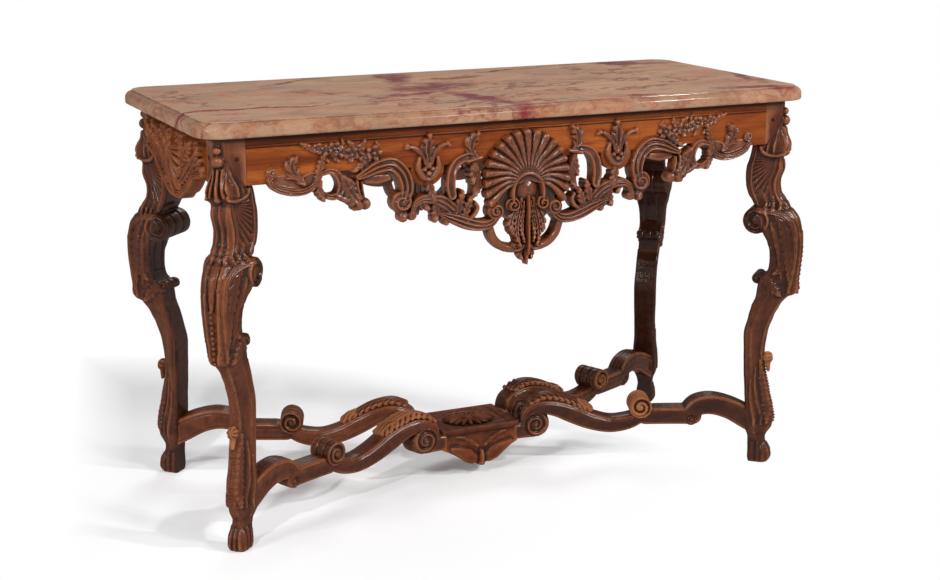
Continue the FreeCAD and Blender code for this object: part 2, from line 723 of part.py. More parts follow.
def build():
    pieces = {"marble_top": marble_top()}

    # Aprons with their shells
    forms = shell_forms()
    long_apron = apron_blank(clear_half_length, front_drawn_half, LONG_APRON)
    for form in forms:
        long_apron = long_apron.cut(form)
    end_apron = apron_blank(clear_half_width, end_drawn_half, END_APRON)
    front = moved(long_apron, 0, -half_width)
    side = turned(moved(end_apron, 0, -half_length), -90)
    pegs = [flipped(peg, sx, sy) for sx, sy in CORNERS.values() for peg in apron_pegs()]
    housings = [flipped(bearer(joint_clearance), sx, 1) for sx in (1, -1)]
    front = largest(front.cut(Part.makeCompound(pegs + housings)))
    side = largest(side.cut(Part.makeCompound(pegs)))
    pieces["front_apron"] = front
    pieces["back_apron"] = flipped(front, 1, -1)
    pieces["left_apron"] = side
    pieces["right_apron"] = flipped(side, -1, 1)
    pieces["front_shell"] = moved(largest(joined(forms)), 0, -half_width)
    pieces["back_shell"] = flipped(pieces["front_shell"], 1, -1)
    pieces["apron_pegs"] = Part.makeCompound(pegs)

    # Legs, knobs and stretcher arms
    blank, knob = leg_parts()
    forms = arm_forms(blank)
    rod, peg = arm_peg(blank)
    sockets = arm_tenons(joint_clearance)
    leg = largest(blank.cut(Part.makeCompound(apron_mortises() + apron_pegs() + [sockets[1], rod])))
    arm = largest(joined([forms["body"]] + arm_tenons(0)).cut(rod))
    plain_arm = largest(joined([arm, forms["leaf"], forms["tip"], forms["roll"]]))
    arms = {
        "back_right": plain_arm,
        "back_left": largest(joined([arm, forms["leaf"], forms["roll"]])),
        "front_left": largest(joined([arm, forms["roll"]])),
        "front_right": largest(joined([arm, forms["leaf"]])),
    }
    for corner, (sx, sy) in CORNERS.items():
        pieces["leg_" + corner] = flipped(leg, sx, sy)
        pieces["leg_knob_" + corner] = flipped(knob, sx, sy)
        pieces["arm_" + corner] = flipped(arms[corner], sx, sy)
        pieces["corner_block_" + corner] = flipped(corner_block(), sx, sy)
    pieces["arm_pegs"] = Part.makeCompound([flipped(peg, sx, sy) for sx, sy in CORNERS.values()])

    # Replaced carvings on the arms
    leaf = largest(joined([forms["leaf"], forms["tip"]]).cut(arms["front_left"]))
    pieces["arm_leaf_front_left"] = flipped(leaf, -1, -1)
    pieces["arm_leaf_tip_back_left"] = flipped(largest(forms["tip"].cut(arms["back_left"])), -1, 1)
    pieces["arm_leaf_tip_front_right"] = flipped(largest(forms["tip"].cut(arms["front_right"])), 1, -1)
    pieces["arm_roll_front_right"] = flipped(largest(forms["roll"].cut(arms["front_right"])), 1, -1)
    pieces["arm_roll_cap_back_right"] = forms["cap"]

    # Platform and bearers
    mortises = [flipped(sockets[0], sx, sy) for sx, sy in CORNERS.values()]
    pieces["stretcher_platform"] = largest(platform().cut(Part.makeCompound(mortises)))
    pieces["bearer_right"] = bearer(0)
    pieces["bearer_left"] = flipped(bearer(0), -1, 1)
    return pieces


os.makedirs("parts", exist_ok=True)
for node, shape in build().items():
    shape.exportStep("parts/" + node + ".step")
    print(node, shape.isValid(), len(shape.Solids), round(shape.Volume / 1000, 1))
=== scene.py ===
import math
import bpy
import numpy as np
from bpy.props import FloatProperty, FloatVectorProperty, IntProperty, PointerProperty
from bpy.types import Operator, Panel, PropertyGroup
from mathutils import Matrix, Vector


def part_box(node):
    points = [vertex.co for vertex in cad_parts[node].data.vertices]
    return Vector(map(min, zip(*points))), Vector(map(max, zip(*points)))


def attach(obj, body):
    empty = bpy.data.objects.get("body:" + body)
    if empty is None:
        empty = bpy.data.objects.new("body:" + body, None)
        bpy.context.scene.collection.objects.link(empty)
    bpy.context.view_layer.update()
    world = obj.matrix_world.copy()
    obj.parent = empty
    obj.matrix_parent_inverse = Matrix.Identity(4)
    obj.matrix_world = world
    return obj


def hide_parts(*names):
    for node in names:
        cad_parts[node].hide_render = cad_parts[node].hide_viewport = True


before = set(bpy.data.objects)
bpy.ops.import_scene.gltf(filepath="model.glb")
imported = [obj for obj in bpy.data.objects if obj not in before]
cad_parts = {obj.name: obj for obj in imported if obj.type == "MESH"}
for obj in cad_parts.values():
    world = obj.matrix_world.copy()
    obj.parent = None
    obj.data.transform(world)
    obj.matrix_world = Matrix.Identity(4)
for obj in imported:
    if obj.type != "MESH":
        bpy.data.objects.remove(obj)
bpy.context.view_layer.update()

bl_info = {
    "name": "Carved Centre Table",
    "version": (1, 0, 0),
    "blender": (4, 5, 0),
    "location": "View3D > Sidebar > Table",
    "description": "Carves the walnut frame and lays the marble top of a scroll-legged centre table",
    "category": "Object",
}

MM = 0.001
# Lines of the frame in millimetres: faces of the aprons, half lengths between the posts, axes of the legs
RAIL_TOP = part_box("front_apron")[1][2] / MM
FRONT, END = 262.0, 597.0
LONG_HALF, END_HALF = 541, 206
LEG_X, LEG_Y = 569.0, 234.0
CORNERS = {"front_left": (-1, -1), "front_right": (1, -1), "back_left": (-1, 1), "back_right": (1, 1)}


def cut_value(name, where, value, least=1.0):
    description = "Smallest cut on the " + where + ", in millimetres"
    return FloatProperty(name=name, description=description, default=value, min=least, max=6.0)


def count_value(name, description, value):
    return IntProperty(name=name, description=description, default=value, min=5, max=40)


def radius_value(name, description, value):
    return FloatProperty(name=name, description=description, default=value, unit="LENGTH", min=0.001, max=0.02)


def colour_value(name, description, value):
    return FloatVectorProperty(
        name=name, description=description, default=value, size=3, subtype="COLOR", min=0.0, max=1.0)


class TableSizes(PropertyGroup):
    """Fineness of the carving, and the sizes of what repeats."""

    leg_cut: cut_value("Leg cut", "legs", 1.45)
    apron_cut: cut_value("Apron cut", "aprons", 1.5)
    shell_cut: cut_value("Shell cut", "shells", 1.38, 0.8)
    arm_cut: cut_value("Arm cut", "stretcher", 1.85)
    kept_share: FloatProperty(
        name="Kept share", description="Share of the faces kept on aprons and legs; flat places give up theirs",
        default=0.5, subtype="FACTOR", min=0.1, max=1.0)
    shell_flutes: count_value("Shell flutes", "Flutes round the shell", 19)
    rosette_petals: count_value("Rosette petals", "Petals of the stretcher rosette", 18)
    knee_bead: radius_value("Knee bead", "Radius of the beads on the knee pendant", 0.0042)
    ankle_bead: radius_value("Ankle bead", "Radius of the beads above the foot", 0.0027)
    peg_radius: radius_value("Peg radius", "Radius of the peg heads on the posts", 0.004)


class TableColours(PropertyGroup):
    """Finishes of the wood and the stone."""

    field: colour_value("Field", "Golden walnut of the plain rails", (0.192, 0.042, 0.0092))
    gold: colour_value("Gold", "Light figure in the plain rails", (0.335, 0.098, 0.0182))
    carved: colour_value("Carved", "Red brown polish of the carving", (0.139, 0.0352, 0.0130))
    # Rubbed high edges, lighter also as a painted highlight on the carving's ridges
    worn: colour_value("Worn", "Rubbed high edges of the carving", (0.28, 0.096, 0.039))
    faded: colour_value("Faded", "Lighter carving of the end aprons", (0.18, 0.050, 0.0185))
    # Old wax with painted shade in the cuts; also the painted shade line under the rail bead and painted shadow
    # under the slab
    wax_and_shade: colour_value("Wax and shade", "Old wax in the cuts", (0.018, 0.0065, 0.004))
    pale: colour_value("Pale", "Unpolished replaced carvings", (0.275, 0.103, 0.0445))
    inner: colour_value("Inner", "Secondary wood inside the frame", (0.075, 0.034, 0.018))
    stone: colour_value("Stone", "Ground of the marble", (0.325, 0.186, 0.112))
    salmon: colour_value("Salmon", "Warm clouds of the marble", (0.42, 0.145, 0.076))
    ash: colour_value("Ash", "Grey clouds of the marble", (0.28, 0.195, 0.135))
    vein: colour_value("Vein", "Dark veins of the marble", (0.145, 0.0155, 0.0210))
    speck: colour_value("Speck", "Small russet spots of the marble", (0.25, 0.075, 0.045))
    mottle: colour_value("Mottle", "Russet patches on the slab's edge", (0.22, 0.062, 0.036))
    # Painted shade in the small step of the slab's edge
    step_shade: colour_value("Step shade", "Dirt in the step of the slab's edge", (0.13, 0.05, 0.034))
    crack: colour_value("Crack", "Fine brown cracks of the marble", (0.14, 0.035, 0.03))


def sizes():
    return bpy.context.scene.table_sizes


def colours():
    return bpy.context.scene.table_colours


# Drawing on a flat grid


def smooth_line(stations, spacing=2.5):
    """Closely spaced points on a smooth line through stations of (across, up, width)."""
    given = np.array(stations, float)
    held = np.vstack([2 * given[0] - given[1], given, 2 * given[-1] - given[-2]])
    rows = []
    for k in range(len(given) - 1):
        before, start, end, after = held[k:k + 4]
        count = max(2, int(np.hypot(*(end - start)[:2]) / spacing))
        t = np.arange(count)[:, None] / count
        rows.append(0.5 * (2 * start + (end - before) * t
                           + (2 * before - 5 * start + 4 * end - after) * t ** 2
                           + (3 * start - before - 3 * end + after) * t ** 3))
    rows.append(given[-1:])
    return np.vstack(rows)


def ease(low, high, value):
    """Smooth step from 0 at low to 1 at high."""
    t = np.clip((value - low) / (high - low), 0, 1)
    return t * t * (3 - 2 * t)


def soft_least(a, b, k):
    """Lesser of two fields, blended where they are closer than k."""
    h = np.clip(0.5 + 0.5 * (b - a) / k, 0, 1)
    return b + (a - b) * h - k * h * (1 - h)


def soft_most(a, b, k):
    """Greater of two fields, blended where they are closer than k."""
    return -soft_least(-a, -b, k)


# Distance from the outline on a blank drawing, and reach of a line or a round beyond its own edge
BLANK, NEAR = 60.0, 14.0
ROUND_MARGIN = 12
VOLUTE_TURNS = 2.0


class Relief:
    """Carver's drawing: how proud each point stands, and how far it lies outside the outline."""

    def __init__(self, low, high, cut):
        self.a = np.arange(low[0], high[0] + cut, cut)
        self.b = np.arange(low[1], high[1] + cut, cut)
        self.A, self.B = np.meshgrid(self.a, self.b, indexing="ij")
        self.rise = np.zeros(self.A.shape)
        self.edge = np.full(self.A.shape, BLANK)

    def window(self, low, high):
        """Part of the grid between two corners."""
        i = np.searchsorted(self.a, [low[0], high[0]])
        j = np.searchsorted(self.b, [low[1], high[1]])
        return slice(i[0], i[1]), slice(j[0], j[1])

    def follow(self, stations):
        """Distance from a drawn line, way along it, half width and whole length, near the line."""
        line = smooth_line(stations)
        margin = NEAR + line[:, 2].max() / 2
        place = self.window(line[:, :2].min(0) - margin, line[:, :2].max(0) + margin)
        a, b = self.A[place], self.B[place]
        step = np.diff(line[:, :2], axis=0)
        run = np.hypot(step[:, 0], step[:, 1])
        da = a.reshape(-1, 1) - line[:-1, 0]
        db = b.reshape(-1, 1) - line[:-1, 1]
        t = np.clip((da * step[:, 0] + db * step[:, 1]) / run ** 2, 0, 1)
        gap = (da - t * step[:, 0]) ** 2 + (db - t * step[:, 1]) ** 2
        best = gap.argmin(1)
        rows = np.arange(len(best))
        t = t[rows, best]
        way = np.concatenate([[0], np.cumsum(run)])[best] + t * run[best]
        half = 0.5 * (line[best, 2] * (1 - t) + line[best + 1, 2] * t)
        gap = np.sqrt(gap[rows, best])
        return place, gap.reshape(a.shape), way.reshape(a.shape), half.reshape(a.shape), run.sum()

    def lay(self, place, rise, edge, cover=True):
        """Put a shape on the drawing: over what is there, or added to it."""
        inside = edge < 0
        if cover:
            self.rise[place] = np.where(inside, np.maximum(self.rise[place], rise), self.rise[place])
        else:
            self.rise[place] += np.where(inside, rise, 0)
        self.edge[place] = np.minimum(self.edge[place], edge)

    def stroke(self, kind, rise, stations, cover=True):
        """One band, root to tip: round, blade, scroll (grooved), hollow (rimmed), leaf (lobed) or groove."""
        place, gap, way, half, length = self.follow(stations)
        if kind == "leaf":
            pitch = np.clip(1.35 * half.max(), 8.5, 19.0)
            lobe = np.abs(np.cos(np.pi * (way - 0.9 * gap) / pitch))
            margin = np.abs(np.cos(np.pi * (way - 0.9 * half) / pitch))
            half = half * (0.84 + 0.34 * margin ** 0.6)
        q = np.clip(gap / np.maximum(half, 0.4), 0, 1)
        shape = np.sqrt(np.clip(1 - q ** 2, 0, 1))
        if kind == "blade":
            shape = (1 - q) ** 0.75
        elif kind == "scroll":
            shape = np.sqrt(np.clip(1 - q ** 4, 0, 1)) * (0.8 + 0.2 * np.cos(3 * np.pi * q))
        elif kind == "hollow":
            shape = np.sqrt(np.clip(1 - q ** 6, 0, 1)) * (0.55 + 0.45 * ease(0.25, 0.75, q))
        elif kind == "leaf":
            cleft = (1 - lobe) ** 2 * ease(0.2, 0.6, q)
            vein = np.exp(-(q / 0.17) ** 2) * ease(1.0, 0.7, way / length)
            veined = shape ** 0.65 * (0.95 - 0.5 * cleft) - 0.24 * vein
            shape = veined * (0.8 + 0.34 * ease(0.4, 1.0, way / length))
        self.lay(place, rise * shape, gap - half, cover)

    def around(self, across, up, radius):
        """Distance and angle from a point, near a round of the given radius."""
        middle, reach = np.array([across, up]), radius + ROUND_MARGIN
        place = self.window(middle - reach, middle + reach)
        da = self.A[place] - across
        db = self.B[place] - up
        return place, np.hypot(da, db), np.arctan2(db, da)

    def volute(self, rise, across, up, radius, hand):
        """Spiral scroll end with a raised eye."""
        place, reach, angle = self.around(across, up, radius)
        q = np.clip(reach / radius, 0, 1)
        coil = 0.5 + 0.5 * np.cos(2 * np.pi * (q * VOLUTE_TURNS - hand * angle / (2 * np.pi)))
        shape = np.sqrt(np.clip(1 - q ** 5, 0, 1)) * (0.62 + 0.38 * coil * ease(0.12, 0.3, q))
        eye = np.sqrt(np.clip(1 - (q / 0.26) ** 2, 0, 1))
        self.lay(place, rise * np.maximum(shape, eye), reach - radius)

    def ball(self, rise, across, up, radius):
        """Round berry."""
        place, reach, _ = self.around(across, up, radius)
        q = np.clip(reach / radius, 0, 1)
        self.lay(place, rise * np.sqrt(1 - q ** 2), reach - radius)

    def flower(self, rise, across, up, radius, turn, petals=5):
        """Open flower with hollowed petals and a raised heart."""
        place, reach, angle = self.around(across, up, radius)
        lobe = np.abs(np.cos(petals * (angle - turn) / 2))
        limit = radius * (0.72 + 0.28 * lobe)
        q = np.clip(reach / limit, 0, 1)
        petal = np.sqrt(np.clip(1 - q ** 4, 0, 1)) * (0.42 + 0.5 * lobe) * (0.45 + 0.55 * ease(0.25, 0.8, q))
        heart = 0.9 * np.sqrt(np.clip(1 - (reach / (radius * 0.27)) ** 2, 0, 1))
        self.lay(place, rise * np.maximum(petal, heart), reach - limit)

    def both_sides(self, across, count):
        """Rise of a right half drawing at places left and right, over the lowest count rows."""
        cut = self.a[1]
        columns = [min(int(round(abs(value) / cut)), len(self.a) - 1) for value in across]
        return self.rise[columns, :count]


# Carved solids on a fine grid

LEAST_FIELD = 1e-5
CELL = np.array([(a, b, c) for a in (0, 1) for b in (0, 1) for c in (0, 1)])
CELL_EDGES = [(p, q) for p in range(8) for q in range(p + 1, 8) if np.abs(CELL[p] - CELL[q]).sum() == 1]


def blurred(values, span):
    """Mean over a cube of span points each way."""
    for axis in range(3):
        pad = [(0, 0)] * 3
        pad[axis] = (span + 1, span)
        run = np.cumsum(np.pad(values, pad, mode="edge"), axis=axis, dtype=np.float32)
        high = [slice(None)] * 3
        low = [slice(None)] * 3
        high[axis] = slice(2 * span + 1, None)
        low[axis] = slice(0, -2 * span - 1)
        values = (run[tuple(high)] - run[tuple(low)]) / (2 * span + 1)
    return values


def carved(field, axes, span=3):
    """Skin of the solid where the field is below zero: points, four-sided faces and depth in the cuts."""
    field = field.astype(np.float32)
    field[np.abs(field) < LEAST_FIELD] = LEAST_FIELD
    inside = field < 0
    count = np.zeros([n - 1 for n in field.shape], np.uint8)
    for a, b, c in CELL:
        count += inside[a:a + count.shape[0], b:b + count.shape[1], c:c + count.shape[2]]
    active = (count > 0) & (count < 8)
    cells = np.argwhere(active)
    number = np.full(active.shape, -1, np.int32)
    number[active] = np.arange(len(cells), dtype=np.int32)
    corner = [field[cells[:, 0] + a, cells[:, 1] + b, cells[:, 2] + c] for a, b, c in CELL]
    total = np.zeros((len(cells), 3), np.float32)
    hits = np.zeros(len(cells), np.float32)
    for p, q in CELL_EDGES:
        crossed = (corner[p] < 0) != (corner[q] < 0)
        share = np.where(crossed, corner[p] / np.where(crossed, corner[p] - corner[q], 1), 0)
        total += crossed[:, None] * (CELL[p] + share[:, None] * (CELL[q] - CELL[p]))
        hits += crossed
    local = cells + total / hits[:, None]
    cut = np.array([axis[1] - axis[0] for axis in axes])
    points = local * cut + np.array([axis[0] for axis in axes])
    fill = blurred(np.clip(0.5 - field / cut.min(), 0, 1), span)
    recess = np.mean([fill[cells[:, 0] + a, cells[:, 1] + b, cells[:, 2] + c] for a, b, c in CELL], axis=0)
    faces = []
    for axis in range(3):
        low = [slice(1, -1)] * 3
        high = [slice(1, -1)] * 3
        low[axis] = slice(0, -1)
        high[axis] = slice(1, None)
        start = inside[tuple(low)]
        at = np.argwhere(start != inside[tuple(high)])
        outward = start[at[:, 0], at[:, 1], at[:, 2]]
        first, second = [k for k in range(3) if k != axis]
        ring = []
        for p, q in ((0, 0), (1, 0), (1, 1), (0, 1)):
            shift = np.zeros(3, int)
            shift[first], shift[second] = p, q
            place = at + shift
            ring.append(number[place[:, 0], place[:, 1], place[:, 2]])
        quad = np.stack(ring, 1)
        turned = outward if axis != 1 else ~outward
        quad[~turned] = quad[~turned][:, ::-1]
        faces.append(quad)
    return points, np.vstack(faces), recess


def flip_faces(points, faces, signs):
    """Mirror points by signs on X and Y, keeping the faces outward."""
    points = points * np.array([signs[0], signs[1], 1.0])
    return points, faces if signs[0] * signs[1] > 0 else faces[:, ::-1]


def joined(skins):
    """One skin of several."""
    points, faces, recess, shift = [], [], [], 0
    for p, f, r in skins:
        points.append(p)
        faces.append(f + shift)
        recess.append(r)
        shift += len(p)
    return np.vstack(points), np.vstack(faces), np.concatenate(recess)


def skin_mesh(name, skin):
    """Mesh in metres from a skin in millimetres."""
    points, faces, recess = skin
    mesh = bpy.data.meshes.new(name)
    mesh.vertices.add(len(points))
    mesh.vertices.foreach_set("co", np.ascontiguousarray(points * MM, np.float32).ravel())
    sides = faces.shape[1]
    mesh.loops.add(faces.size)
    mesh.loops.foreach_set("vertex_index", np.ascontiguousarray(faces, np.int32).ravel())
    mesh.polygons.add(len(faces))
    mesh.polygons.foreach_set("loop_start", np.arange(0, faces.size, sides, dtype=np.int32))
    mesh.polygons.foreach_set("use_smooth", np.ones(len(faces), bool))
    depth = mesh.attributes.new("recess", "FLOAT", "POINT")
    depth.data.foreach_set("value", np.ascontiguousarray(recess, np.float32))
    mesh.update(calc_edges=True)
    mesh.validate()
    return mesh


def evaluated_mesh(guide):
    """Plain mesh of an object with its modifiers applied."""
    graph = bpy.context.evaluated_depsgraph_get()
    return bpy.data.meshes.new_from_object(
        guide.evaluated_get(graph), preserve_all_data_layers=True, depsgraph=graph)


def thinned(skin):
    """The same skin with fewer, three-sided faces; flat places give up theirs first."""
    rough_mesh = skin_mesh("rough_skin", skin)
    rough = bpy.data.objects.new("rough_skin", rough_mesh)
    bpy.context.scene.collection.objects.link(rough)
    rough.modifiers.new("thin", "DECIMATE").ratio = sizes().kept_share
    mesh = evaluated_mesh(rough)
    mesh.calc_loop_triangles()
    points = np.empty(3 * len(mesh.vertices), np.float32)
    mesh.vertices.foreach_get("co", points)
    faces = np.empty(3 * len(mesh.loop_triangles), np.int32)
    mesh.loop_triangles.foreach_get("vertices", faces)
    recess = np.empty(len(mesh.vertices), np.float32)
    mesh.attributes["recess"].data.foreach_get("value", recess)
    bpy.data.objects.remove(rough)
    bpy.data.meshes.remove(rough_mesh)
    bpy.data.meshes.remove(mesh)
    return points.reshape(-1, 3) / MM, faces.reshape(-1, 3), recess


def add_piece(name, mesh, nodes=()):
    """Piece that rides on the table and takes the place of the named solids."""
    piece = bpy.data.objects.new(name, mesh)
    bpy.context.scene.collection.objects.link(piece)
    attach(piece, "root")
    if nodes:
        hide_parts(*nodes)
    return piece


def new_piece(name, skin, material, nodes=()):
    """Piece of one skin and one finish."""
    mesh = skin_mesh(name, skin)
    mesh.materials.append(material)
    return add_piece(name, mesh, nodes)


def relief_solid(relief, back, span=3):
    """Solid of a drawing: proud to the front (minus Y), flat at the back."""
    cut = relief.a[1] - relief.a[0]
    deep = np.arange(-relief.rise.max() - 3 * cut, np.max(back) + 3 * cut, cut)
    edge = relief.edge[:, None, :]
    front = -deep[None, :, None] - relief.rise[:, None, :]
    behind = deep[None, :, None] - np.broadcast_to(back, relief.rise.shape)[:, None, :]
    field = np.maximum(np.maximum(edge, front), behind)
    for side in (0, -1):
        field[side] = np.maximum(field[side], 0.5)
        field[:, :, side] = np.maximum(field[:, :, side], 0.5)
    return carved(field, (relief.a, deep, relief.b), span)


# Finishes


class Tree:
    """Short hand for the nodes of one tree."""

    def __init__(self, tree):
        self.tree = tree

    def feed(self, socket, value):
        """Link an output to an input, or set the input's value."""
        if isinstance(value, bpy.types.NodeSocket):
            self.tree.links.new(value, socket)
        else:
            socket.default_value = value

    def node(self, kind, inputs=None, **values):
        """New node; each value, in the order given, is one of its properties or else an input of that label."""
        made = self.tree.nodes.new(kind)
        for key, value in values.items():
            if hasattr(made, key):
                setattr(made, key, value)
            else:
                self.feed(made.inputs[key.replace("_", " ")], value)
        for key, value in (inputs or {}).items():
            self.feed(made.inputs[key], value)
        return made

    def maths(self, operation, first, second=0.0):
        return self.node("ShaderNodeMath", {0: first, 1: second}, operation=operation).outputs[0]

    def seen(self):
        """One on rays that show the background, also in a polish, and none on those that light the table."""
        rays = self.node("ShaderNodeLightPath").outputs
        mirrored = self.maths("MAXIMUM", rays["Is Glossy Ray"], rays["Is Transmission Ray"])
        return self.maths("MAXIMUM", rays["Is Camera Ray"], mirrored)


class Finish(Tree):
    """Nodes of one material."""

    def __init__(self, name):
        self.material = bpy.data.materials.new(name)
        self.material.use_nodes = True
        super().__init__(self.material.node_tree)
        self.tree.nodes.clear()
        self.shader = self.node("ShaderNodeBsdfPrincipled")
        self.out = self.node("ShaderNodeOutputMaterial", Surface=self.shader.outputs[0])

    def mapped(self, scale=(1, 1, 1), turn=(0, 0, 0), move=(0, 0, 0)):
        """The object's own coordinates, scaled, turned and moved."""
        where = self.node("ShaderNodeTexCoord").outputs["Object"]
        made = self.node("ShaderNodeMapping", Vector=where, Scale=scale, Rotation=turn, Location=move)
        return made.outputs[0]

    def height(self):
        """Height over the floor, in metres."""
        return self.node("ShaderNodeSeparateXYZ", {0: self.mapped()}).outputs["Z"]

    def noise(self, vector, scale, detail=4.0, rough=0.55, warp=0.0, output="Fac"):
        made = self.node("ShaderNodeTexNoise", Vector=vector, Scale=scale, Detail=detail, Roughness=rough,
                         Distortion=warp)
        return made.outputs[output]

    def ramp(self, value, stops):
        made = self.node("ShaderNodeValToRGB", Fac=value)
        steps = made.color_ramp.elements
        while len(steps) < len(stops):
            steps.new(0.5)
        for step, (place, tone) in zip(steps, stops):
            step.position = place
            step.color = (*tone, 1) if hasattr(tone, "__len__") else (tone, tone, tone, 1)
        return made.outputs["Color"]

    def fade(self, value, low, high, most=1.0):
        """Even rise from none at low to most at high."""
        made = self.node("ShaderNodeMapRange", Value=value, From_Min=low, From_Max=high, To_Max=most)
        return made.outputs["Result"]

    def level(self, value, start, zoom):
        """A value over a start, enlarged so that a ramp from 0 to 1 can read it."""
        return self.maths("MULTIPLY", self.maths("SUBTRACT", value, start), zoom)

    def mix(self, share, base, tone):
        """Base colour with a share of a second tone."""
        return self.node("ShaderNodeMix", {0: share, 6: base, 7: (*tone, 1)}, data_type="RGBA").outputs[2]

    def stain(self, base, pattern, stops, tone):
        """Base colour with a second tone where a ramp over the pattern says so."""
        return self.mix(self.ramp(pattern, stops), base, tone)

    def from_oval(self, vector, centre, turn, half):
        """Distance from the middle of an oval, one at its rim."""
        place = self.node("ShaderNodeMapping", vector_type="TEXTURE", Vector=vector, Location=centre,
                          Rotation=(0, 0, turn), Scale=half)
        return self.node("ShaderNodeVectorMath", {0: place.outputs[0]}, operation="LENGTH").outputs["Value"]

    def bump(self, height, strength, distance):
        made = self.node("ShaderNodeBump", Height=height, Strength=strength, Distance=distance)
        for socket in ("Normal", "Coat Normal"):
            self.feed(self.shader.inputs[socket], made.outputs["Normal"])

    def coat(self, weight, roughness, ior=1.5):
        """Thin clear polish over a dull ground."""
        self.shader.inputs["Specular IOR Level"].default_value = 0.0
        self.shader.inputs["Coat Weight"].default_value = weight
        self.shader.inputs["Coat Roughness"].default_value = roughness
        self.shader.inputs["Coat IOR"].default_value = ior

    def surface(self, colour, roughness):
        self.feed(self.shader.inputs["Base Color"], colour)
        self.feed(self.shader.inputs["Roughness"], roughness)


def shaded(tone, factor):
    return tuple(min(1.0, c * factor) for c in tone)


GRAIN = {"x": (0.9, 9.0, 9.0), "y": (9.0, 0.9, 9.0), "z": (9.0, 9.0, 0.9)}
# The light figure's lift over the ground in red, green and blue
FIGURE_LIFT = (0.5, 0.75, 0.6)
# Start and zoom that read the painted shade line under the bead; heights where painted shadow under the slab
# begins and is full
RAIL_LINE = (0.74, 50.0)
SLAB_SHADE = (0.7600, 0.7645)
WAX_ROUGHNESS, WAX_IOR = 0.20, 2.0


def walnut(name, tone, along, light=None, rub_and_highlight_share=1.0, cuts=True, gloss=0.36, polish=0.12, slab_shadow=False, line=False):
    """Polished walnut with streaked grain, old wax and painted shade in the cuts, and rubbed high edges with a
    painted highlight; where asked, a painted shade line under the rail bead and painted shadow under the slab.
    """
    made = Finish(name)
    wax_and_shade = tuple(colours().wax_and_shade)
    figured = 0.75 if cuts else 1.0
    lifted = tuple(c * (1 + lift * figured) for c, lift in zip(tone, FIGURE_LIFT))
    light = tuple(getattr(colours(), light)) if light else lifted
    grain = GRAIN[along]
    streak = made.noise(made.mapped(grain), 3.0, 6.0, 0.62, 0.7)
    base = made.ramp(streak, [(0.30, shaded(tone, 1 - 0.6 * figured)), (0.49, tone), (0.72, light)])
    figure = made.noise(made.mapped(tuple(0.35 * v for v in grain), move=(2.3, 1.1, 0.4)), 4.0, 4.0, 0.55, 0.9)
    base = made.stain(base, figure, [(0.45, 0.0), (0.66, 0.85 * figured)], shaded(tone, 0.5))
    pores = made.noise(made.mapped(tuple(13 * v for v in grain)), 4.0, 4.0, 0.7)
    base = made.stain(base, pores, [(0.54, 0.0), (0.70, 0.7 * figured)], shaded(tone, 0.32))
    if cuts:
        blotch = made.noise(made.mapped(move=(4, 2, 7)), 24.0, 5.0, 0.65)
        base = made.stain(base, blotch, [(0.50, 0.0), (0.66, 0.6)], shaded(tone, 0.45))
        # Old wax with painted shade, darkest deep in the cuts
        depth = made.node("ShaderNodeAttribute", attribute_name="recess").outputs["Fac"]
        depth = made.maths("ADD", depth, made.level(made.noise(made.mapped(), 70.0, 3.0, 0.6), 0.5, 0.14))
        base = made.stain(base, depth, [(0.505, 0.0), (0.57, 0.8), (0.68, 0.98)], wax_and_shade)
        # Rubbed high edges, with a painted highlight on the ridges
        base = made.stain(base, depth, [(0.28, 0.62 * rub_and_highlight_share), (0.45, 0.0)], tuple(colours().worn))
    # Painted shade: a dark line just under the rail bead
    if line:
        under_bead_shade = made.level(made.height(), *RAIL_LINE)
        base = made.stain(base, under_bead_shade, [(0.41, 0.0), (0.46, 0.85), (0.54, 0.85), (0.60, 0.0)], wax_and_shade)
    # Painted shadow of the slab over the tops of the rails and posts
    if slab_shadow:
        base = made.mix(made.fade(made.height(), *SLAB_SHADE, 0.92), base, wax_and_shade)
    made.surface(base, made.ramp(pores, [(0.3, gloss - 0.06), (0.8, gloss + 0.25)]))
    made.coat(polish, WAX_ROUGHNESS, WAX_IOR)
    chisel = made.noise(made.mapped(), 130.0, 2.0, 0.5)
    facet = made.maths("MULTIPLY", made.noise(made.mapped(), 48.0, 2.0, 0.5), 1.6)
    tooled = made.maths("ADD", made.maths("MULTIPLY", pores, 0.35), made.maths("ADD", chisel, facet))
    made.bump(tooled, 0.38, 0.0011)
    return made.material


# Woods by use: name, colour and its shade, run of the grain, and what differs from plain polished carving
WOODS = {
    "rail": ("golden_rail_walnut", "field", 1.0, "x",
             {"light": "gold", "cuts": False, "polish": 0.06, "slab_shadow": True, "line": True}),
    "end_rail": ("golden_end_walnut", "field", 0.85, "y",
                 {"cuts": False, "polish": 0.04, "slab_shadow": True, "line": True}),
    "apron": ("carved_apron_walnut", "carved", 0.80, "x", {"polish": 0.21}),
    "end_apron": ("carved_end_walnut", "faded", 1.0, "y", {"polish": 0.06}),
    "leg": ("carved_leg_walnut", "carved", 0.66, "z", {"polish": 0.13, "slab_shadow": True}),
    # Painted shade: a darker copy of the walnut for the right-hand legs
    "dark_leg": ("darker_leg_walnut", "carved", 0.48, "z", {"polish": 0.12, "slab_shadow": True}),
    "arm": ("carved_arm_walnut", "carved", 0.66, "x", {}),
    # Painted shade: a darker copy of the walnut for the right-hand arms
    "dark_arm": ("darker_arm_walnut", "carved", 0.37, "x", {}),
    "platform": ("worn_platform_walnut", "carved", 1.0, "x", {"gloss": 0.5, "polish": 0.06}),
    "pale": ("pale_replaced_walnut", "pale", 1.0, "x", {"rub_and_highlight_share": 0.3, "gloss": 0.55, "polish": 0.02}),
    "inner": ("secondary_wood", "inner", 1.0, "y", {"cuts": False, "gloss": 0.6, "polish": 0.0}),
    "peg": ("dark_peg_wood", "carved", 0.35, "y", {"cuts": False, "gloss": 0.5, "polish": 0.04}),
}
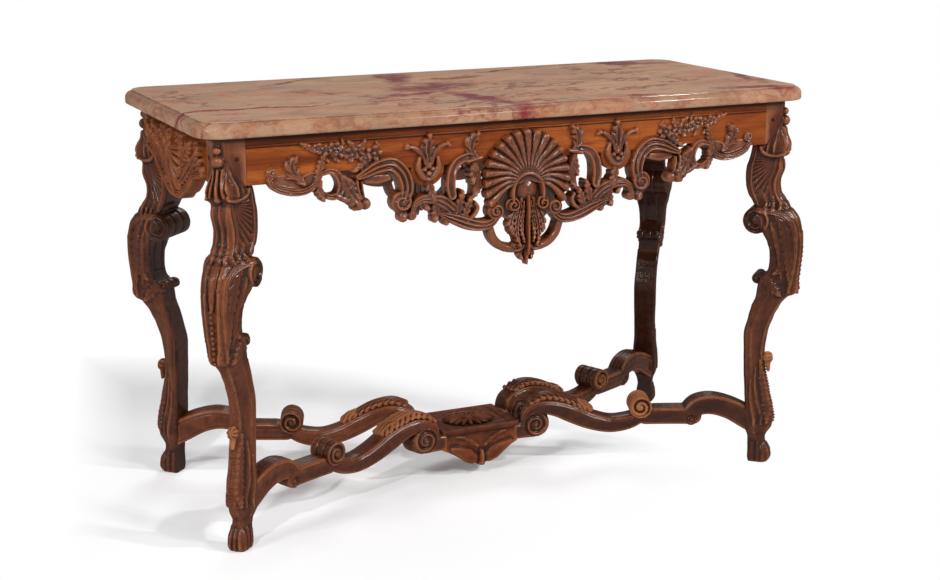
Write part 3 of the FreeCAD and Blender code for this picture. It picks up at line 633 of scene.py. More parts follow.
FINISHES = {}


def finish(name):
    """Each finish is made once, when first asked for."""
    if name not in FINISHES:
        if name == "marble":
            FINISHES[name] = marble()
        else:
            label, colour, shade, along, rest = WOODS[name]
            FINISHES[name] = walnut(label, shaded(getattr(colours(), colour), shade), along, **rest)
    return FINISHES[name]


# Dark blots of the slab: place, turn and half sizes in metres
MARBLE_BLOTS = [
    ((-0.085, 0.18), 1.2, (0.12, 0.04)), ((-0.05, 0.03), 0.5, (0.12, 0.08)),
    ((-0.045, -0.17), -1.35, (0.20, 0.036)), ((-0.14, -0.06), 0.25, (0.12, 0.03)),
    ((0.02, 0.14), 0.3, (0.10, 0.03)), ((0.48, 0.24), -0.5, (0.11, 0.05)),
    ((0.52, -0.265), -0.3, (0.10, 0.034)), ((-0.46, -0.13), 0.03, (0.26, 0.010)),
    ((-0.24, -0.11), 0.25, (0.08, 0.022)), ((0.60, -0.05), 1.4, (0.2, 0.02)),
    ((-0.33, 0.19), 0.5, (0.10, 0.012)), ((0.24, -0.25), -0.2, (0.07, 0.014)),
    ((0.2, 0.22), 0.25, (0.14, 0.012)),
]
BLOT_Z, BLOT_HALF_DEPTH = 0.79, 0.12
# Heights where the slab's moulded edge begins and is full, start and zoom that read its step, drift of the blots
SLAB_EDGE = (0.7985, 0.7955)
SLAB_STEP = (0.79, 100.0)
DRIFT = 0.14


def marble():
    """Beige and pink breccia with burgundy blots, salmon clouds, brown cracks and a soft polish; painted shade on
    the moulded edge and in its step.
    """
    made = Finish("veined_pink_marble")
    tone = colours()
    stone = tuple(tone.stone)
    flow = made.mapped((1.0, 1.8, 1.6), turn=(0, 0, 0.25))
    cloud = made.noise(flow, 4.5, 8.0, 0.62, 0.9)
    base = made.ramp(cloud, [(0.30, shaded(stone, 0.72)), (0.45, stone), (0.60, shaded(stone, 1.22))])
    smoke = made.noise(made.mapped((1.0, 2.6, 2.0), turn=(0, 0, 0.3), move=(5, 2, 1)), 5.0, 7.0, 0.65, 1.1)
    base = made.stain(base, smoke, [(0.52, 0.0), (0.66, 0.85)], tuple(tone.ash))
    warm = made.noise(made.mapped((1.0, 2.2, 1.6), turn=(0, 0, 0.15), move=(3, 1, 0)), 7.0, 7.0, 0.66, 1.3)
    base = made.stain(base, warm, [(0.52, 0.0), (0.68, 0.9)], tuple(tone.salmon))
    fleck = made.noise(made.mapped(), 60.0, 5.0, 0.7)
    base = made.stain(base, fleck, [(0.56, 0.0), (0.72, 0.45)], shaded(stone, 0.5))
    spots = made.noise(made.mapped((1.0, 1.4, 1.4), move=(1, 4, 2)), 26.0, 6.0, 0.72, 0.6)
    base = made.stain(base, spots, [(0.55, 0.0), (0.70, 0.75)], tuple(tone.speck))

    height = made.height()
    rim = made.fade(height, *SLAB_EDGE)
    patches = made.noise(made.mapped((1.0, 0.45, 1.6), move=(6, 1, 3)), 34.0, 6.0, 0.74, 0.8)
    share = made.maths("MULTIPLY", rim, made.ramp(patches, [(0.47, 0.0), (0.62, 0.85)]))
    base = made.mix(share, base, tuple(tone.mottle))
    # Painted shade: the slab's whole moulded edge darkened a little
    base = made.mix(made.maths("MULTIPLY", rim, 0.30), base, shaded(stone, 0.55))
    # Painted shade: a broken dark line in the small step under the top
    step = made.ramp(made.level(height, *SLAB_STEP), [(0.69, 0.0), (0.73, 0.75), (0.90, 0.75), (0.96, 0.0)])
    share = made.maths("MULTIPLY", step, made.ramp(patches, [(0.38, 0.35), (0.54, 1.0)]))
    base = made.mix(share, base, tuple(tone.step_shade))

    crack = made.maths("ABSOLUTE", made.maths("SUBTRACT", made.noise(flow, 3.2, 8.0, 0.6, 0.5), 0.5))
    some = made.ramp(made.noise(made.mapped(move=(7, 3, 0)), 4.0, 3.0), [(0.45, 0.0), (0.57, 0.9)])
    share = made.maths("MULTIPLY", made.ramp(crack, [(0.0, 1.0), (0.020, 0.0)]), some)
    base = made.mix(share, base, tuple(tone.crack))

    ragged = made.maths("SUBTRACT", made.noise(made.mapped(), 7.0, 7.0, 0.68), 0.5)
    wander = made.noise(made.mapped(), 8.0, 6.0, 0.62, output="Color")
    back = made.mapped(move=(-DRIFT / 2, -DRIFT / 2, 0))
    drift = made.node("ShaderNodeVectorMath", {0: wander, 1: (DRIFT, DRIFT, 0.0), 2: back},
                      operation="MULTIPLY_ADD")
    dark = 0.0
    for centre, turn, half in MARBLE_BLOTS:
        reach = made.from_oval(drift.outputs[0], (*centre, BLOT_Z), turn, (*half, BLOT_HALF_DEPTH))
        edge = made.maths("ADD", reach, made.maths("MULTIPLY", ragged, 3.0))
        dark = made.maths("MAXIMUM", dark, made.ramp(edge, [(0.45, 1.0), (1.0, 0.0)]))
    patchy = made.noise(made.mapped(move=(2, 6, 1)), 30.0, 6.0, 0.7)
    share = made.maths("MULTIPLY", dark, made.ramp(patchy, [(0.36, 0.6), (0.54, 0.96)]))
    base = made.mix(share, base, tuple(tone.vein))
    made.surface(base, made.ramp(cloud, [(0.2, 0.26), (0.8, 0.36)]))
    made.coat(0.11, 0.10)
    made.bump(fleck, 0.05, 0.0006)
    return made.material


# Long apron: bands of (kind, rise, stations of (across, depth under the rail top, width)), right half

LONG_STROKES = [
    # end C-scroll with its sunk panel, bud leaf and tendril
    ("hollow", 3, [(486, 82, 18), (464, 88, 34), (442, 90, 34), (426, 84, 18)]),
    ("scroll", 9, [(501, 80, 12), (489, 96, 14), (464, 105, 15), (440, 106, 15), (422, 99, 13), (414, 86, 8)]),
    ("leaf", 12, [(438, 92, 9), (448, 82, 17), (459, 67, 24), (461, 54, 22), (452, 43, 11)]),
    ("blade", 8, [(448, 88, 6), (456, 82, 8), (470, 80, 5)]),
    ("round", 5, [(446, 84, 6), (436, 78, 6), (424, 74, 5), (414, 76, 4)]),
    # stem leaf and ring round the oval opening
    ("hollow", 9, [(405, 77, 9), (390, 73, 12), (375, 80, 14), (367, 99, 15), (374, 117, 14), (390, 120, 11),
                   (402, 112, 8)]),
    ("leaf", 11, [(409, 98, 12), (411, 80, 14), (406, 62, 14), (402, 47, 11), (396, 37, 6)]),
    ("leaf", 10, [(411, 92, 12), (408, 110, 14), (401, 126, 6)]),
    # leaf pendant
    ("leaf", 12, [(364, 88, 14), (355, 104, 28), (345, 122, 32), (335, 139, 20)]),
    ("round", 9, [(376, 118, 11), (361, 127, 12), (347, 131, 9)]),
    ("blade", 13, [(338, 95, 7), (337, 110, 10), (331, 128, 7)]),
    ("blade", 11, [(329, 98, 6), (328, 112, 8), (325, 126, 6)]),
    # great arch and the thin board inside it
    ("round", 2, [(320, 95, 12), (296, 95, 17), (276, 93, 13)]),
    ("scroll", 12, [(334, 87, 13), (318, 80, 21), (296, 71, 28), (270, 69, 32), (251, 84, 31), (242, 106, 31),
                    (243, 126, 27), (250, 140, 20)]),
    ("leaf", 9, [(250, 148, 18), (248, 162, 18), (247, 172, 10)]),
    # garland
    ("round", 5, [(418, 34, 5), (400, 40, 6), (380, 42, 6), (356, 48, 6), (334, 52, 6), (312, 50, 5)]),
    ("leaf", 8, [(418, 34, 8), (430, 26, 11), (442, 19, 5)]),
    ("leaf", 7, [(404, 40, 7), (398, 50, 9), (390, 56, 4)]),
    ("leaf", 7, [(384, 42, 7), (376, 52, 9), (370, 58, 4)]),
    ("leaf", 8, [(340, 38, 7), (346, 28, 10), (354, 21, 5)]),
    ("leaf", 8, [(330, 40, 7), (325, 30, 10), (321, 20, 5)]),
    ("leaf", 8, [(310, 54, 10), (325, 65, 15), (343, 76, 8)]),
    ("leaf", 7, [(302, 42, 7), (296, 34, 9), (299, 26, 4)]),
    ("leaf", 7, [(368, 34, 7), (363, 24, 8), (366, 16, 4)]),
    # lily
    ("round", 9, [(204, 72, 9), (210, 56, 12), (221, 45, 12), (232, 40, 10), (241, 42, 8)]),
    ("round", 9, [(192, 72, 9), (186, 55, 12), (175, 44, 12), (164, 39, 10), (155, 41, 8)]),
    ("leaf", 12, [(198, 74, 12), (199, 54, 22), (198, 37, 26), (196, 21, 12)]),
    ("blade", 13, [(200, 70, 5), (204, 46, 8), (203, 28, 5)]),
    ("round", 10, [(216, 62, 9), (218, 80, 14), (209, 96, 14), (198, 103, 10)]),
    ("round", 10, [(180, 62, 9), (178, 80, 14), (187, 96, 14), (198, 103, 10)]),
    ("leaf", 10, [(198, 100, 12), (194, 120, 16), (188, 140, 18)]),
    # acanthus branch with its lobes
    ("scroll", 10, [(231, 162, 10), (227, 148, 13), (212, 139, 17), (190, 140, 22), (166, 149, 27),
                    (148, 164, 25)]),
    ("leaf", 9, [(206, 143, 13), (200, 157, 9)]),
    ("leaf", 10, [(180, 148, 18), (182, 167, 18), (186, 180, 9)]),
    ("leaf", 10, [(163, 156, 20), (166, 176, 18), (163, 187, 9)]),
    # lower C-scroll
    ("scroll", 13, [(62, 186, 15), (73, 195, 19), (92, 198, 22), (118, 192, 25), (145, 181, 22),
                    (172, 170, 12)]),
    # strap
    ("hollow", 11, [(104, 67, 14), (122, 66, 16), (140, 74, 18), (151, 92, 19), (154, 116, 20),
                    (151, 136, 18)]),
    # husk spray beside the shell
    ("leaf", 13, [(106, 66, 10), (112, 52, 21), (110, 36, 25), (99, 23, 12)]),
    ("round", 12, [(92, 68, 8), (104, 70, 13), (119, 74, 9)]),
    ("round", 9, [(105, 80, 14), (101, 102, 20), (101, 122, 18), (108, 142, 8)]),
    ("leaf", 12, [(104, 82, 10), (106, 100, 18), (110, 116, 8)]),
    ("leaf", 11, [(98, 104, 10), (97, 122, 17), (104, 138, 8)]),
    # acanthus between strap and scroll
    ("leaf", 11, [(141, 180, 12), (137, 157, 19), (130, 131, 9)]),
    ("leaf", 11, [(127, 184, 14), (121, 162, 17), (113, 144, 9)]),
    ("round", 10, [(120, 186, 11), (106, 176, 10), (99, 163, 9), (104, 153, 7)]),
    # loop under the shell
    ("round", 10, [(74, 203, 16), (66, 225, 17), (50, 241, 17), (30, 248, 17), (8, 249, 15)]),
]
LONG_VOLUTES = [(10, 497, 69, 11, 1), (13, 251, 140, 21, -1), (15, 62, 173, 17, 1), (11, 105, 90, 9, 1)]
LONG_BALLS = [(10, 322, 138, 11), (9, 341, 143, 7), (9, 248, 170, 9), (9, 231, 167, 10), (10, 190, 83, 6),
              (10, 206, 83, 6), (11, 198, 91, 7), (10, 239, 38, 6), (10, 160, 38, 6), (11, 198, 76, 8)]
LONG_FLOWERS = [
    (12, 352, 106, 15), (9, 410, 31, 12), (8, 394, 35, 11), (10, 378, 33, 15), (8, 362, 41, 12),
    (10, 347, 46, 16), (9, 333, 38, 11), (9, 321, 54, 13), (11, 304, 46, 17),
]
# Lower edge of the plain board behind the carving: (across, depth)
LONG_BOARD = [(LONG_HALF, 88), (505, 88), (498, 90), (480, 101), (460, 107), (440, 105), (426, 92), (424, 74),
              (352, 74), (340, 80), (300, 88), (268, 84), (252, 78), (230, 78)]
LONG_TONGUE = (198, 82, 33)
BOARD_THICKNESS = 20
# Depths under the rail's top: lower edge of a board at the middle, upper end of a drawing, lower end of this one
BOARD_MIDDLE, DRAWING_TOP, LONG_DEPTH = 78, 12, 285
# How deep the carving goes where a board lies behind it, and where it is pierced
ON_BOARD, PIERCED = 3.0, 19.0
# Extra depth read in the cuts of the garlands, making them darker towards the rail's top, and the depths over
# which it comes in
GARLAND_DARKER, GARLAND_FOOT, GARLAND_HEAD = 0.035, 80, 58


def half_drawing(half, depth, cut):
    """Blank right half of a drawing that hangs from the rail."""
    return Relief((0, RAIL_TOP - depth), (half, RAIL_TOP - DRAWING_TOP), cut)


def draw(relief, strokes, volutes, balls=(), flowers=()):
    """Lay a whole ornament on a drawing; depths are under the rail's top."""
    for kind, rise, stations in strokes:
        relief.stroke(kind, rise, [(a, RAIL_TOP - d, w) for a, d, w in stations])
    for rise, a, d, radius, hand in volutes:
        relief.volute(rise, a, RAIL_TOP - d, radius, hand)
    for rise, a, d, radius in balls:
        relief.ball(rise, a, RAIL_TOP - d, radius)
    for turn, (rise, a, d, radius) in enumerate(flowers):
        relief.flower(rise, a, RAIL_TOP - d, radius, 0.7 * turn)


def both_halves(relief):
    """Mirror a right half drawing about the middle."""
    relief.a = np.concatenate([-relief.a[:0:-1], relief.a])
    relief.rise = np.concatenate([relief.rise[:0:-1], relief.rise])
    relief.edge = np.concatenate([relief.edge[:0:-1], relief.edge])


def board_outline(edge, tongue):
    """Outline of the plain board, right to left below and back along the top."""
    half = [(a, RAIL_TOP - d) for a, d in edge]
    if tongue:
        across, depth, radius = tongue
        for angle in np.linspace(0.1, math.pi - 0.1, 15):
            half.append((across + radius * math.cos(angle), RAIL_TOP - depth - radius * math.sin(angle)))
        half.append((across - radius, RAIL_TOP - BOARD_MIDDLE))
    half.append((0, RAIL_TOP - BOARD_MIDDLE))
    below = half + [(-a, z) for a, z in half[-2::-1]]
    return below + [(-edge[0][0], RAIL_TOP), (edge[0][0], RAIL_TOP)]


def relief_back(relief, edge, tongue):
    """Back of the carving: through the full thickness where pierced, shallow where the board is behind."""
    A, B = np.meshgrid(relief.a, relief.b, indexing="ij")
    order = sorted(edge)
    low = np.interp(np.abs(A), [a for a, _ in order], [RAIL_TOP - d for _, d in order])
    solid = B > low
    if tongue:
        solid |= np.hypot(np.abs(A) - tongue[0], B - RAIL_TOP + tongue[1]) < tongue[2]
    return np.where(solid, ON_BOARD, PIERCED)


def apron_skin(relief, edge, tongue=None):
    """Skin of an apron's carving from its right half drawing."""
    both_halves(relief)
    return thinned(relief_solid(relief, relief_back(relief, edge, tongue), 4))


def plank(name, outline, place, turned, material, nodes):
    """Flat board cut to an outline of (across, up), the faces turned where its place mirrors them."""
    count = len(outline)
    points = [Vector(place(a, deep, z)) * MM for deep in (0, BOARD_THICKNESS) for a, z in outline]
    faces = [tuple(range(count))[::-1], tuple(range(count, 2 * count))]
    for k in range(count):
        following = (k + 1) % count
        faces.append((k, following, count + following, count + k))
    mesh = bpy.data.meshes.new(name)
    mesh.from_pydata(points, [], [face[::-1] for face in faces] if turned else faces)
    mesh.materials.append(material)
    return add_piece(name, mesh, nodes)


def long_place(sign):
    return lambda a, deep, z: (a, sign * (FRONT - deep), z)


def end_place(sign):
    return lambda a, deep, z: (sign * (END - deep), a, z)


def hung(skin, place, turned):
    """Skin of a drawing hung in its place, the faces turned where the place mirrors them."""
    points, faces, recess = skin
    return np.stack(place(*points.T), 1), faces[:, ::-1] if turned else faces, recess


def hang_apron(name, place, turned, outline, skin, board_tone, carving_tone):
    """Board of one apron with its carving."""
    plank(name + "_board", outline, place, turned, finish(board_tone), [name])
    new_piece(name + "_carving", hung(skin, place, turned), finish(carving_tone))


class TABLE_OT_long_aprons(Operator):
    """Carve the front and back aprons: golden board, pierced scrolls, garlands and lilies."""

    bl_idname = "table.long_aprons"
    bl_label = "Long Aprons"

    def execute(self, context):
        relief = half_drawing(LONG_HALF, LONG_DEPTH, sizes().apron_cut)
        draw(relief, LONG_STROKES, LONG_VOLUTES, LONG_BALLS, LONG_FLOWERS)
        points, faces, recess = apron_skin(relief, LONG_BOARD, LONG_TONGUE)
        recess = recess + GARLAND_DARKER * ease(RAIL_TOP - GARLAND_FOOT, RAIL_TOP - GARLAND_HEAD, points[:, 2])
        skin = points, faces, recess
        outline = board_outline(LONG_BOARD, LONG_TONGUE)
        for side, sign in (("front", -1), ("back", 1)):
            hang_apron(side + "_apron", long_place(sign), sign > 0, outline, skin, "rail", "apron")
        return {"FINISHED"}


# End apron, half: same reading as the long apron
END_STROKES = [
    # moulded lower edge
    ("hollow", 3, [(176, 68, 16), (150, 68, 26), (128, 72, 20)]),
    ("scroll", 10, [(192, 76, 10), (172, 80, 13), (150, 83, 14), (132, 87, 15), (112, 101, 16), (86, 116, 16),
                    (62, 124, 16), (34, 137, 16), (-10, 141, 14)]),
    # acanthus turned out from the middle
    ("leaf", 11, [(40, 118, 14), (66, 102, 26), (98, 84, 30), (132, 66, 26), (162, 46, 18), (184, 28, 8)]),
    ("leaf", 10, [(48, 92, 10), (62, 70, 22), (84, 52, 26), (110, 38, 20), (134, 25, 8)]),
    ("leaf", 10, [(112, 84, 10), (138, 74, 20), (166, 64, 20), (190, 50, 8)]),
    ("leaf", 9, [(40, 62, 10), (44, 44, 18), (58, 28, 16), (76, 20, 6)]),
    ("round", 8, [(146, 54, 8), (166, 60, 9), (186, 50, 6)]),
]
END_VOLUTES = [(10, 188, 68, 9, 1), (11, 44, 118, 13, -1)]
END_BALLS = [(9, 112, 62, 7), (8, 92, 34, 7), (8, 150, 32, 7), (8, 176, 40, 6)]
END_FLOWERS = [(9, 152, 30, 11), (9, 26, 30, 12)]
END_BOARD = [(END_HALF, 86), (186, 83), (172, 82), (150, 84), (132, 88), (112, 96), (96, 100), (60, 100), (40, 92)]
END_DEPTH = 182
# Hanging shell in the middle: depth of its middle, half width, reach up and down, how far up the flutes meet
END_SHELL_DEPTH, END_SHELL_HALF, END_SHELL_UP, END_SHELL_DOWN, END_SHELL_HINGE = 82, 38.0, 34.0, 66.0, 26
END_SHELL_RISE, END_SHELL_FLUTES = 16, 9.0


def hanging_shell(relief):
    """Fluted drop in the middle of the end apron."""
    z = relief.B - (RAIL_TOP - END_SHELL_DEPTH)
    reach = np.hypot(relief.A / END_SHELL_HALF, np.where(z > 0, z / END_SHELL_UP, z / END_SHELL_DOWN))
    angle = np.arctan2(relief.A, END_SHELL_HINGE - z)
    flute = np.abs(np.cos(END_SHELL_FLUTES * angle))
    scallop = 0.88 + 0.12 * flute ** 0.5
    q = np.clip(reach / scallop, 0, 1)
    rise = END_SHELL_RISE * np.sqrt(np.clip(1 - q ** 3, 0, 1))
    rise = rise * (1 - 0.5 * (1 - flute) ** 1.5 * ease(0.2, 0.45, q))
    relief.rise = np.where(q < 1, np.maximum(relief.rise, rise), relief.rise)
    relief.edge = np.minimum(relief.edge, (reach - scallop) * END_SHELL_HALF)


class TABLE_OT_end_aprons(Operator):
    """Carve the left and right aprons with foliage and a hanging shell."""

    bl_idname = "table.end_aprons"
    bl_label = "End Aprons"

    def execute(self, context):
        relief = half_drawing(END_HALF, END_DEPTH, sizes().apron_cut)
        draw(relief, END_STROKES, END_VOLUTES, END_BALLS, END_FLOWERS)
        hanging_shell(relief)
        skin = apron_skin(relief, END_BOARD)
        outline = board_outline(END_BOARD, None)
        for side, sign in (("left", -1), ("right", 1)):
            hang_apron(side + "_apron", end_place(sign), sign < 0, outline, skin, "end_rail", "end_apron")
        return {"FINISHED"}


# Shell of the long aprons

# Half width and depth of the drawing
SHELL_SHEET = (98, 283)
# Depth of the point that the flutes spread from, half width, height and half angle of the fan
SHELL_HINGE, SHELL_HALF, SHELL_HEIGHT = 117.0, 91.0, 98.0
SHELL_SWEEP = math.radians(107)
# Ground behind the drop: depth of its middle, half width, half height and rise
SHELL_GROUND = (158, 62.0, 42.0, 9)
SHELL_STROKES = [
    # leaf masses and hanging ribbon
    ("round", 13, [(13, 160, 22), (19, 188, 29), (20, 212, 26), (16, 236, 16)]),
    ("leaf", 19, [(22, 170, 11), (29, 184, 18), (34, 200, 17), (31, 217, 9)]),
    ("leaf", 23, [(12, 152, 7), (17, 174, 13), (22, 198, 16), (23, 222, 13), (17, 243, 7)]),
    ("leaf", 24, [(7, 158, 4), (9, 178, 9), (12, 198, 11), (13, 218, 9), (9, 234, 5)]),
    ("round", 26, [(0, 146, 4), (0, 172, 9), (0, 198, 7), (0, 226, 9), (0, 258, 5)]),
    ("round", 15, [(4, 242, 14), (14, 249, 12), (22, 251, 9)]),
    ("leaf", 14, [(8, 248, 11), (13, 259, 12), (9, 270, 6)]),
    ("round", 16, [(0, 248, 12), (0, 264, 12), (0, 279, 5)]),
    # hood
    ("round", 23, [(31, 156, 10), (32, 138, 14), (26, 117, 16), (13, 106, 16), (0, 103, 16), (-13, 106, 16)]),
]
SHELL_VOLUTES = [(27, 31, 162, 15, -1), (21, 33, 211, 7, -1), (18, 24, 241, 7, -1)]
# Round boss under the hood: depth and radius
SHELL_BOSS = (134, 24.0)


class TABLE_OT_shells(Operator):
    """Carve the fluted shells with hood, twin volutes and acanthus drop."""

    bl_idname = "table.shells"
    bl_label = "Shells"

    def execute(self, context):
        relief = half_drawing(*SHELL_SHEET, sizes().shell_cut)
        self.fan(relief, sizes().shell_flutes)
        draw(relief, SHELL_STROKES, SHELL_VOLUTES)
        depth, radius = SHELL_BOSS
        place, reach, _ = relief.around(0, RAIL_TOP - depth, radius)
        relief.lay(place, 9 + 11 * (1 - np.clip(reach / radius, 0, 1) ** 2), reach - radius + 1)
        both_halves(relief)
        skin = relief_solid(relief, 4.0)
        for side, sign in (("front", -1), ("back", 1)):
            name = side + "_shell"
            placed = hung(skin, long_place(sign), sign > 0)
            new_piece(name + "_carving", placed, finish("apron"), [name])
        return {"FINISHED"}

    def fan(self, relief, flutes):
        """Flutes that run from small knuckles round the hood out to the rim, over a low dome."""
        across = relief.A
        up = relief.B - (RAIL_TOP - SHELL_HINGE)
        reach = np.hypot(across / SHELL_HALF, up / SHELL_HEIGHT)
        angle = np.arctan2(across, up) / (1 + 0.16 * ease(0.35, 1.0, reach))
        place = angle / SHELL_SWEEP * flutes / 2
        off = 2 * np.abs(place - np.round(place))
        lobe = (1 - off ** 2) ** 0.65
        limit = 0.94 + 0.06 * lobe
        q = np.clip(reach / limit, 0, 1)
        dome = 4 + 14 * np.sqrt(np.clip(1 - (0.95 * q) ** 2.2, 0, 1))
        flute = lobe * ease(0.2, 0.27, q) * (2.8 + 5.2 * ease(0.32, 0.8, q))
        knuckle = 2.2 * lobe * np.exp(-((q - 0.33) / 0.055) ** 2)
        lip = 2.5 * lobe ** 3 * ease(0.84, 0.93, q) - 8 * ease(0.97, 1.0, q)
        rise = dome + flute + knuckle + lip
        inside = (q < 1) & (np.abs(angle) < SHELL_SWEEP)
        edge = np.maximum((reach - limit) * 94, (np.abs(angle) - SHELL_SWEEP) * np.hypot(across, up) * 1.16)
        relief.rise = np.where(inside, np.maximum(relief.rise, rise), relief.rise)
        depth, half, height, proud = SHELL_GROUND
        ground = (np.hypot(across / half, (relief.B - (RAIL_TOP - depth)) / height) - 1) * 48
        relief.rise = np.where(ground < 0, np.maximum(relief.rise, proud), relief.rise)
        relief.edge = np.minimum(np.minimum(relief.edge, edge), ground)


# Legs: sections of (height, back, shoulder, front, half width at the back, half width at the front)

LOWER_SCROLL = [
    (0, -16, 12, 19, 16, 12), (9, -18, 12, 24, 18, 14), (26, -18, 10, 23, 18, 13), (44, -19, 2, 16, 16, 10),
    (56, -19, -4, 16, 18, 7), (80, -24, -5, 29, 26, 6), (100, -24, -5, 33, 26, 6),
    (122, -25, -6, 29, 26, 5), (160, -28, -12, 20, 23, 5), (205, -31, -16, 11, 23, 5),
    (245, -32, -17, 9, 24, 5), (285, -33, -17, 14, 24, 5), (320, -25, -8, 25, 23, 6),
    (340, -20, -1, 35, 23, 7), (364, -11, 11, 53, 23, 10), (370, -10, 14, 66, 23, 12),
    (400, -5, 21, 70, 23, 15), (420, 12, 32, 72, 25, 16), (462, 15, 32, 75, 29, 17),
    (482, 11, 24, 75, 37, 17), (502, 3, 11, 74, 45, 17), (526, -12, 0, 69, 48, 17),
    (544, -12, -2, 57, 47, 17), (560, -12, -6, 30, 36, 16),
]
UPPER_SCROLL = [
    (546, -16, -8, 45, 34, 17), (566, -22, -12, 37, 34, 16), (582, -32, -18, 26, 35, 16),
    (602, -37, -22, 24, 35, 15), (634, -37, -21, 33, 35, 15), (654, -31, -16, 31, 35, 16),
    (664, -29, -12, 36, 35, 22), (678, -27, -8, 38, 34, 22), (704, -24, -8, 31, 24, 15),
    (724, -22, -8, 26, 16, 10), (742, -20, -8, 22, 10, 7),
]
# Relief on the flanks, (out from the post axis, height, width), and on the front, (across, height, width)
FLANK_STROKES = [
    # upper scroll: rim, long folds and hem
    ("hollow", 5, [(-14, 562, 10), (-24, 580, 13), (-30, 602, 14), (-30, 634, 14), (-24, 658, 12),
                   (-18, 684, 8)]),
    ("blade", 4.5, [(29, 656, 7), (28, 632, 9), (20, 606, 10), (22, 584, 11), (33, 560, 9)]),
    ("round", 2, [(22, 650, 4), (18, 628, 5), (10, 604, 6), (13, 582, 8), (20, 560, 9)]),
    ("round", 2, [(-2, 580, 7), (3, 568, 9), (6, 558, 10)]),
    # post leaf turned round the side, with its curled cap
    ("blade", 5, [(24, 728, 5), (22, 706, 8), (18, 686, 9), (16, 667, 8)]),
    ("blade", 5, [(14, 714, 5), (11, 698, 8), (6, 682, 9), (3, 667, 8)]),
    ("blade", 4, [(5, 700, 5), (1, 689, 8), (-4, 678, 9), (-7, 667, 7)]),
    ("round", 6, [(36, 661, 7), (22, 658, 9), (8, 660, 10), (-4, 667, 9), (-10, 678, 6)]),
    ("round", 6, [(34, 562, 8), (33, 553, 12)]), ("round", 6, [(20, 562, 8), (19, 552, 12)]),
    ("round", 6, [(6, 562, 8), (5, 553, 12)]),
    # knee: rim from the roll over to the front, long blades, heel leaf
    ("scroll", 5, [(-34, 518, 8), (-34, 534, 10), (-26, 546, 11), (-10, 549, 12), (12, 547, 13), (34, 541, 13),
                   (52, 528, 13), (62, 512, 13), (66, 488, 12), (66, 462, 12), (64, 436, 11), (60, 406, 10),
                   (56, 376, 8)]),
    ("leaf", 4.5, [(26, 538, 6), (42, 516, 18), (50, 484, 24), (54, 444, 20), (55, 402, 6)]),
    ("round", 3, [(18, 520, 5), (26, 500, 11), (33, 470, 13), (37, 436, 11), (40, 404, 4)]),
    ("leaf", 4, [(46, 452, 6), (42, 434, 14), (34, 420, 14), (24, 414, 6)]),
    ("round", 2.5, [(18, 470, 5), (16, 430, 6), (6, 406, 6), (-4, 386, 6)]),
    ("leaf", 5, [(2, 414, 8), (12, 396, 18), (26, 380, 18), (40, 366, 7)]),
    # shin edges, hanging ankle leaf and grooved foot
    ("round", 2, [(-8, 364, 5), (-20, 326, 6), (-28, 285, 6), (-27, 245, 6), (-26, 205, 6), (-23, 160, 6),
                  (-20, 122, 5)]),
    ("round", 1.8, [(46, 362, 5), (28, 334, 5), (12, 296, 5), (4, 250, 5), (6, 214, 5)]),
    ("leaf", 4.5, [(2, 222, 5), (6, 190, 11), (14, 152, 15), (21, 116, 16), (20, 90, 8)]),
    ("blade", 4, [(-6, 206, 4), (-6, 172, 8), (0, 138, 12), (9, 108, 12), (9, 86, 7)]),
    ("blade", 3.5, [(-15, 180, 4), (-15, 150, 7), (-11, 122, 10), (-5, 98, 10), (-5, 84, 6)]),
    ("round", 2.4, [(-8, 40, 8), (-9, 22, 10), (-8, 5, 9)]),
    ("round", 2.4, [(3, 42, 8), (4, 22, 10), (4, 5, 9)]),
    ("round", 2.4, [(13, 38, 7), (15, 22, 10), (15, 5, 9)]),
]
FRONT_STROKES = [
    # post leaf with long folds, curled cap
    ("round", 8, [(0, 714, 6), (0, 694, 9), (0, 668, 9)]),
    ("blade", 8, [(9, 716, 4), (8, 702, 7), (10, 686, 9), (14, 667, 8)]),
    ("blade", 8, [(14, 720, 4), (16, 703, 7), (19, 685, 9), (24, 668, 7)]),
    ("round", 6, [(19, 714, 4), (23, 699, 7), (27, 685, 8), (32, 672, 6)]),
    # upper scroll ridges and hem
    ("round", 3, [(0, 650, 5), (0, 610, 7), (0, 556, 8)]),
    ("blade", 3.6, [(14, 646, 5), (13, 618, 6), (11, 594, 7), (14, 572, 9), (17, 558, 8)]),
    # knee strip
    ("round", 2.4, [(0, 546, 12), (0, 520, 12), (0, 486, 10), (0, 470, 8)]),
    ("groove", -3, [(9, 552, 3), (9, 520, 3), (7, 484, 3), (4, 468, 2)]),
    ("round", 2.6, [(14, 500, 5), (12, 450, 6), (10, 410, 6), (7, 374, 5)]),
    # ankle leaf and toes
    ("round", 2.5, [(7, 206, 4), (8, 170, 6), (9, 130, 7), (7, 92, 5)]),
    ("round", 4, [(0, 42, 7), (0, 24, 9), (0, 4, 8)]),
    ("round", 4, [(9, 40, 7), (10, 24, 9), (10, 4, 8)]),
    ("round", 3, [(17, 34, 6), (18, 22, 7), (18, 4, 6)]),
]
# Berries on the front: (rise, across, height, radius)
FRONT_BALLS = [(6, 0, 556, 8), (6, 14, 558, 8), (9, 0, 662, 7), (10, 24, 666, 7)]
# Rolls at the knee and the heel: (out, height, radius, half length, grooves, coils)
LEG_ROLLS = [(-12, 527, 27, 49, (16,), 2.2), (-9, 402, 11, 27, (9,), 1.4)]
# Fluting of the upper scroll: (height, out) of the rim that it runs to, and the point that it spreads from
FLUTE_RIM = [(562, -14), (580, -24), (602, -30), (634, -30), (658, -24), (684, -18)]
FLUTE_HINGE = (26, 652)
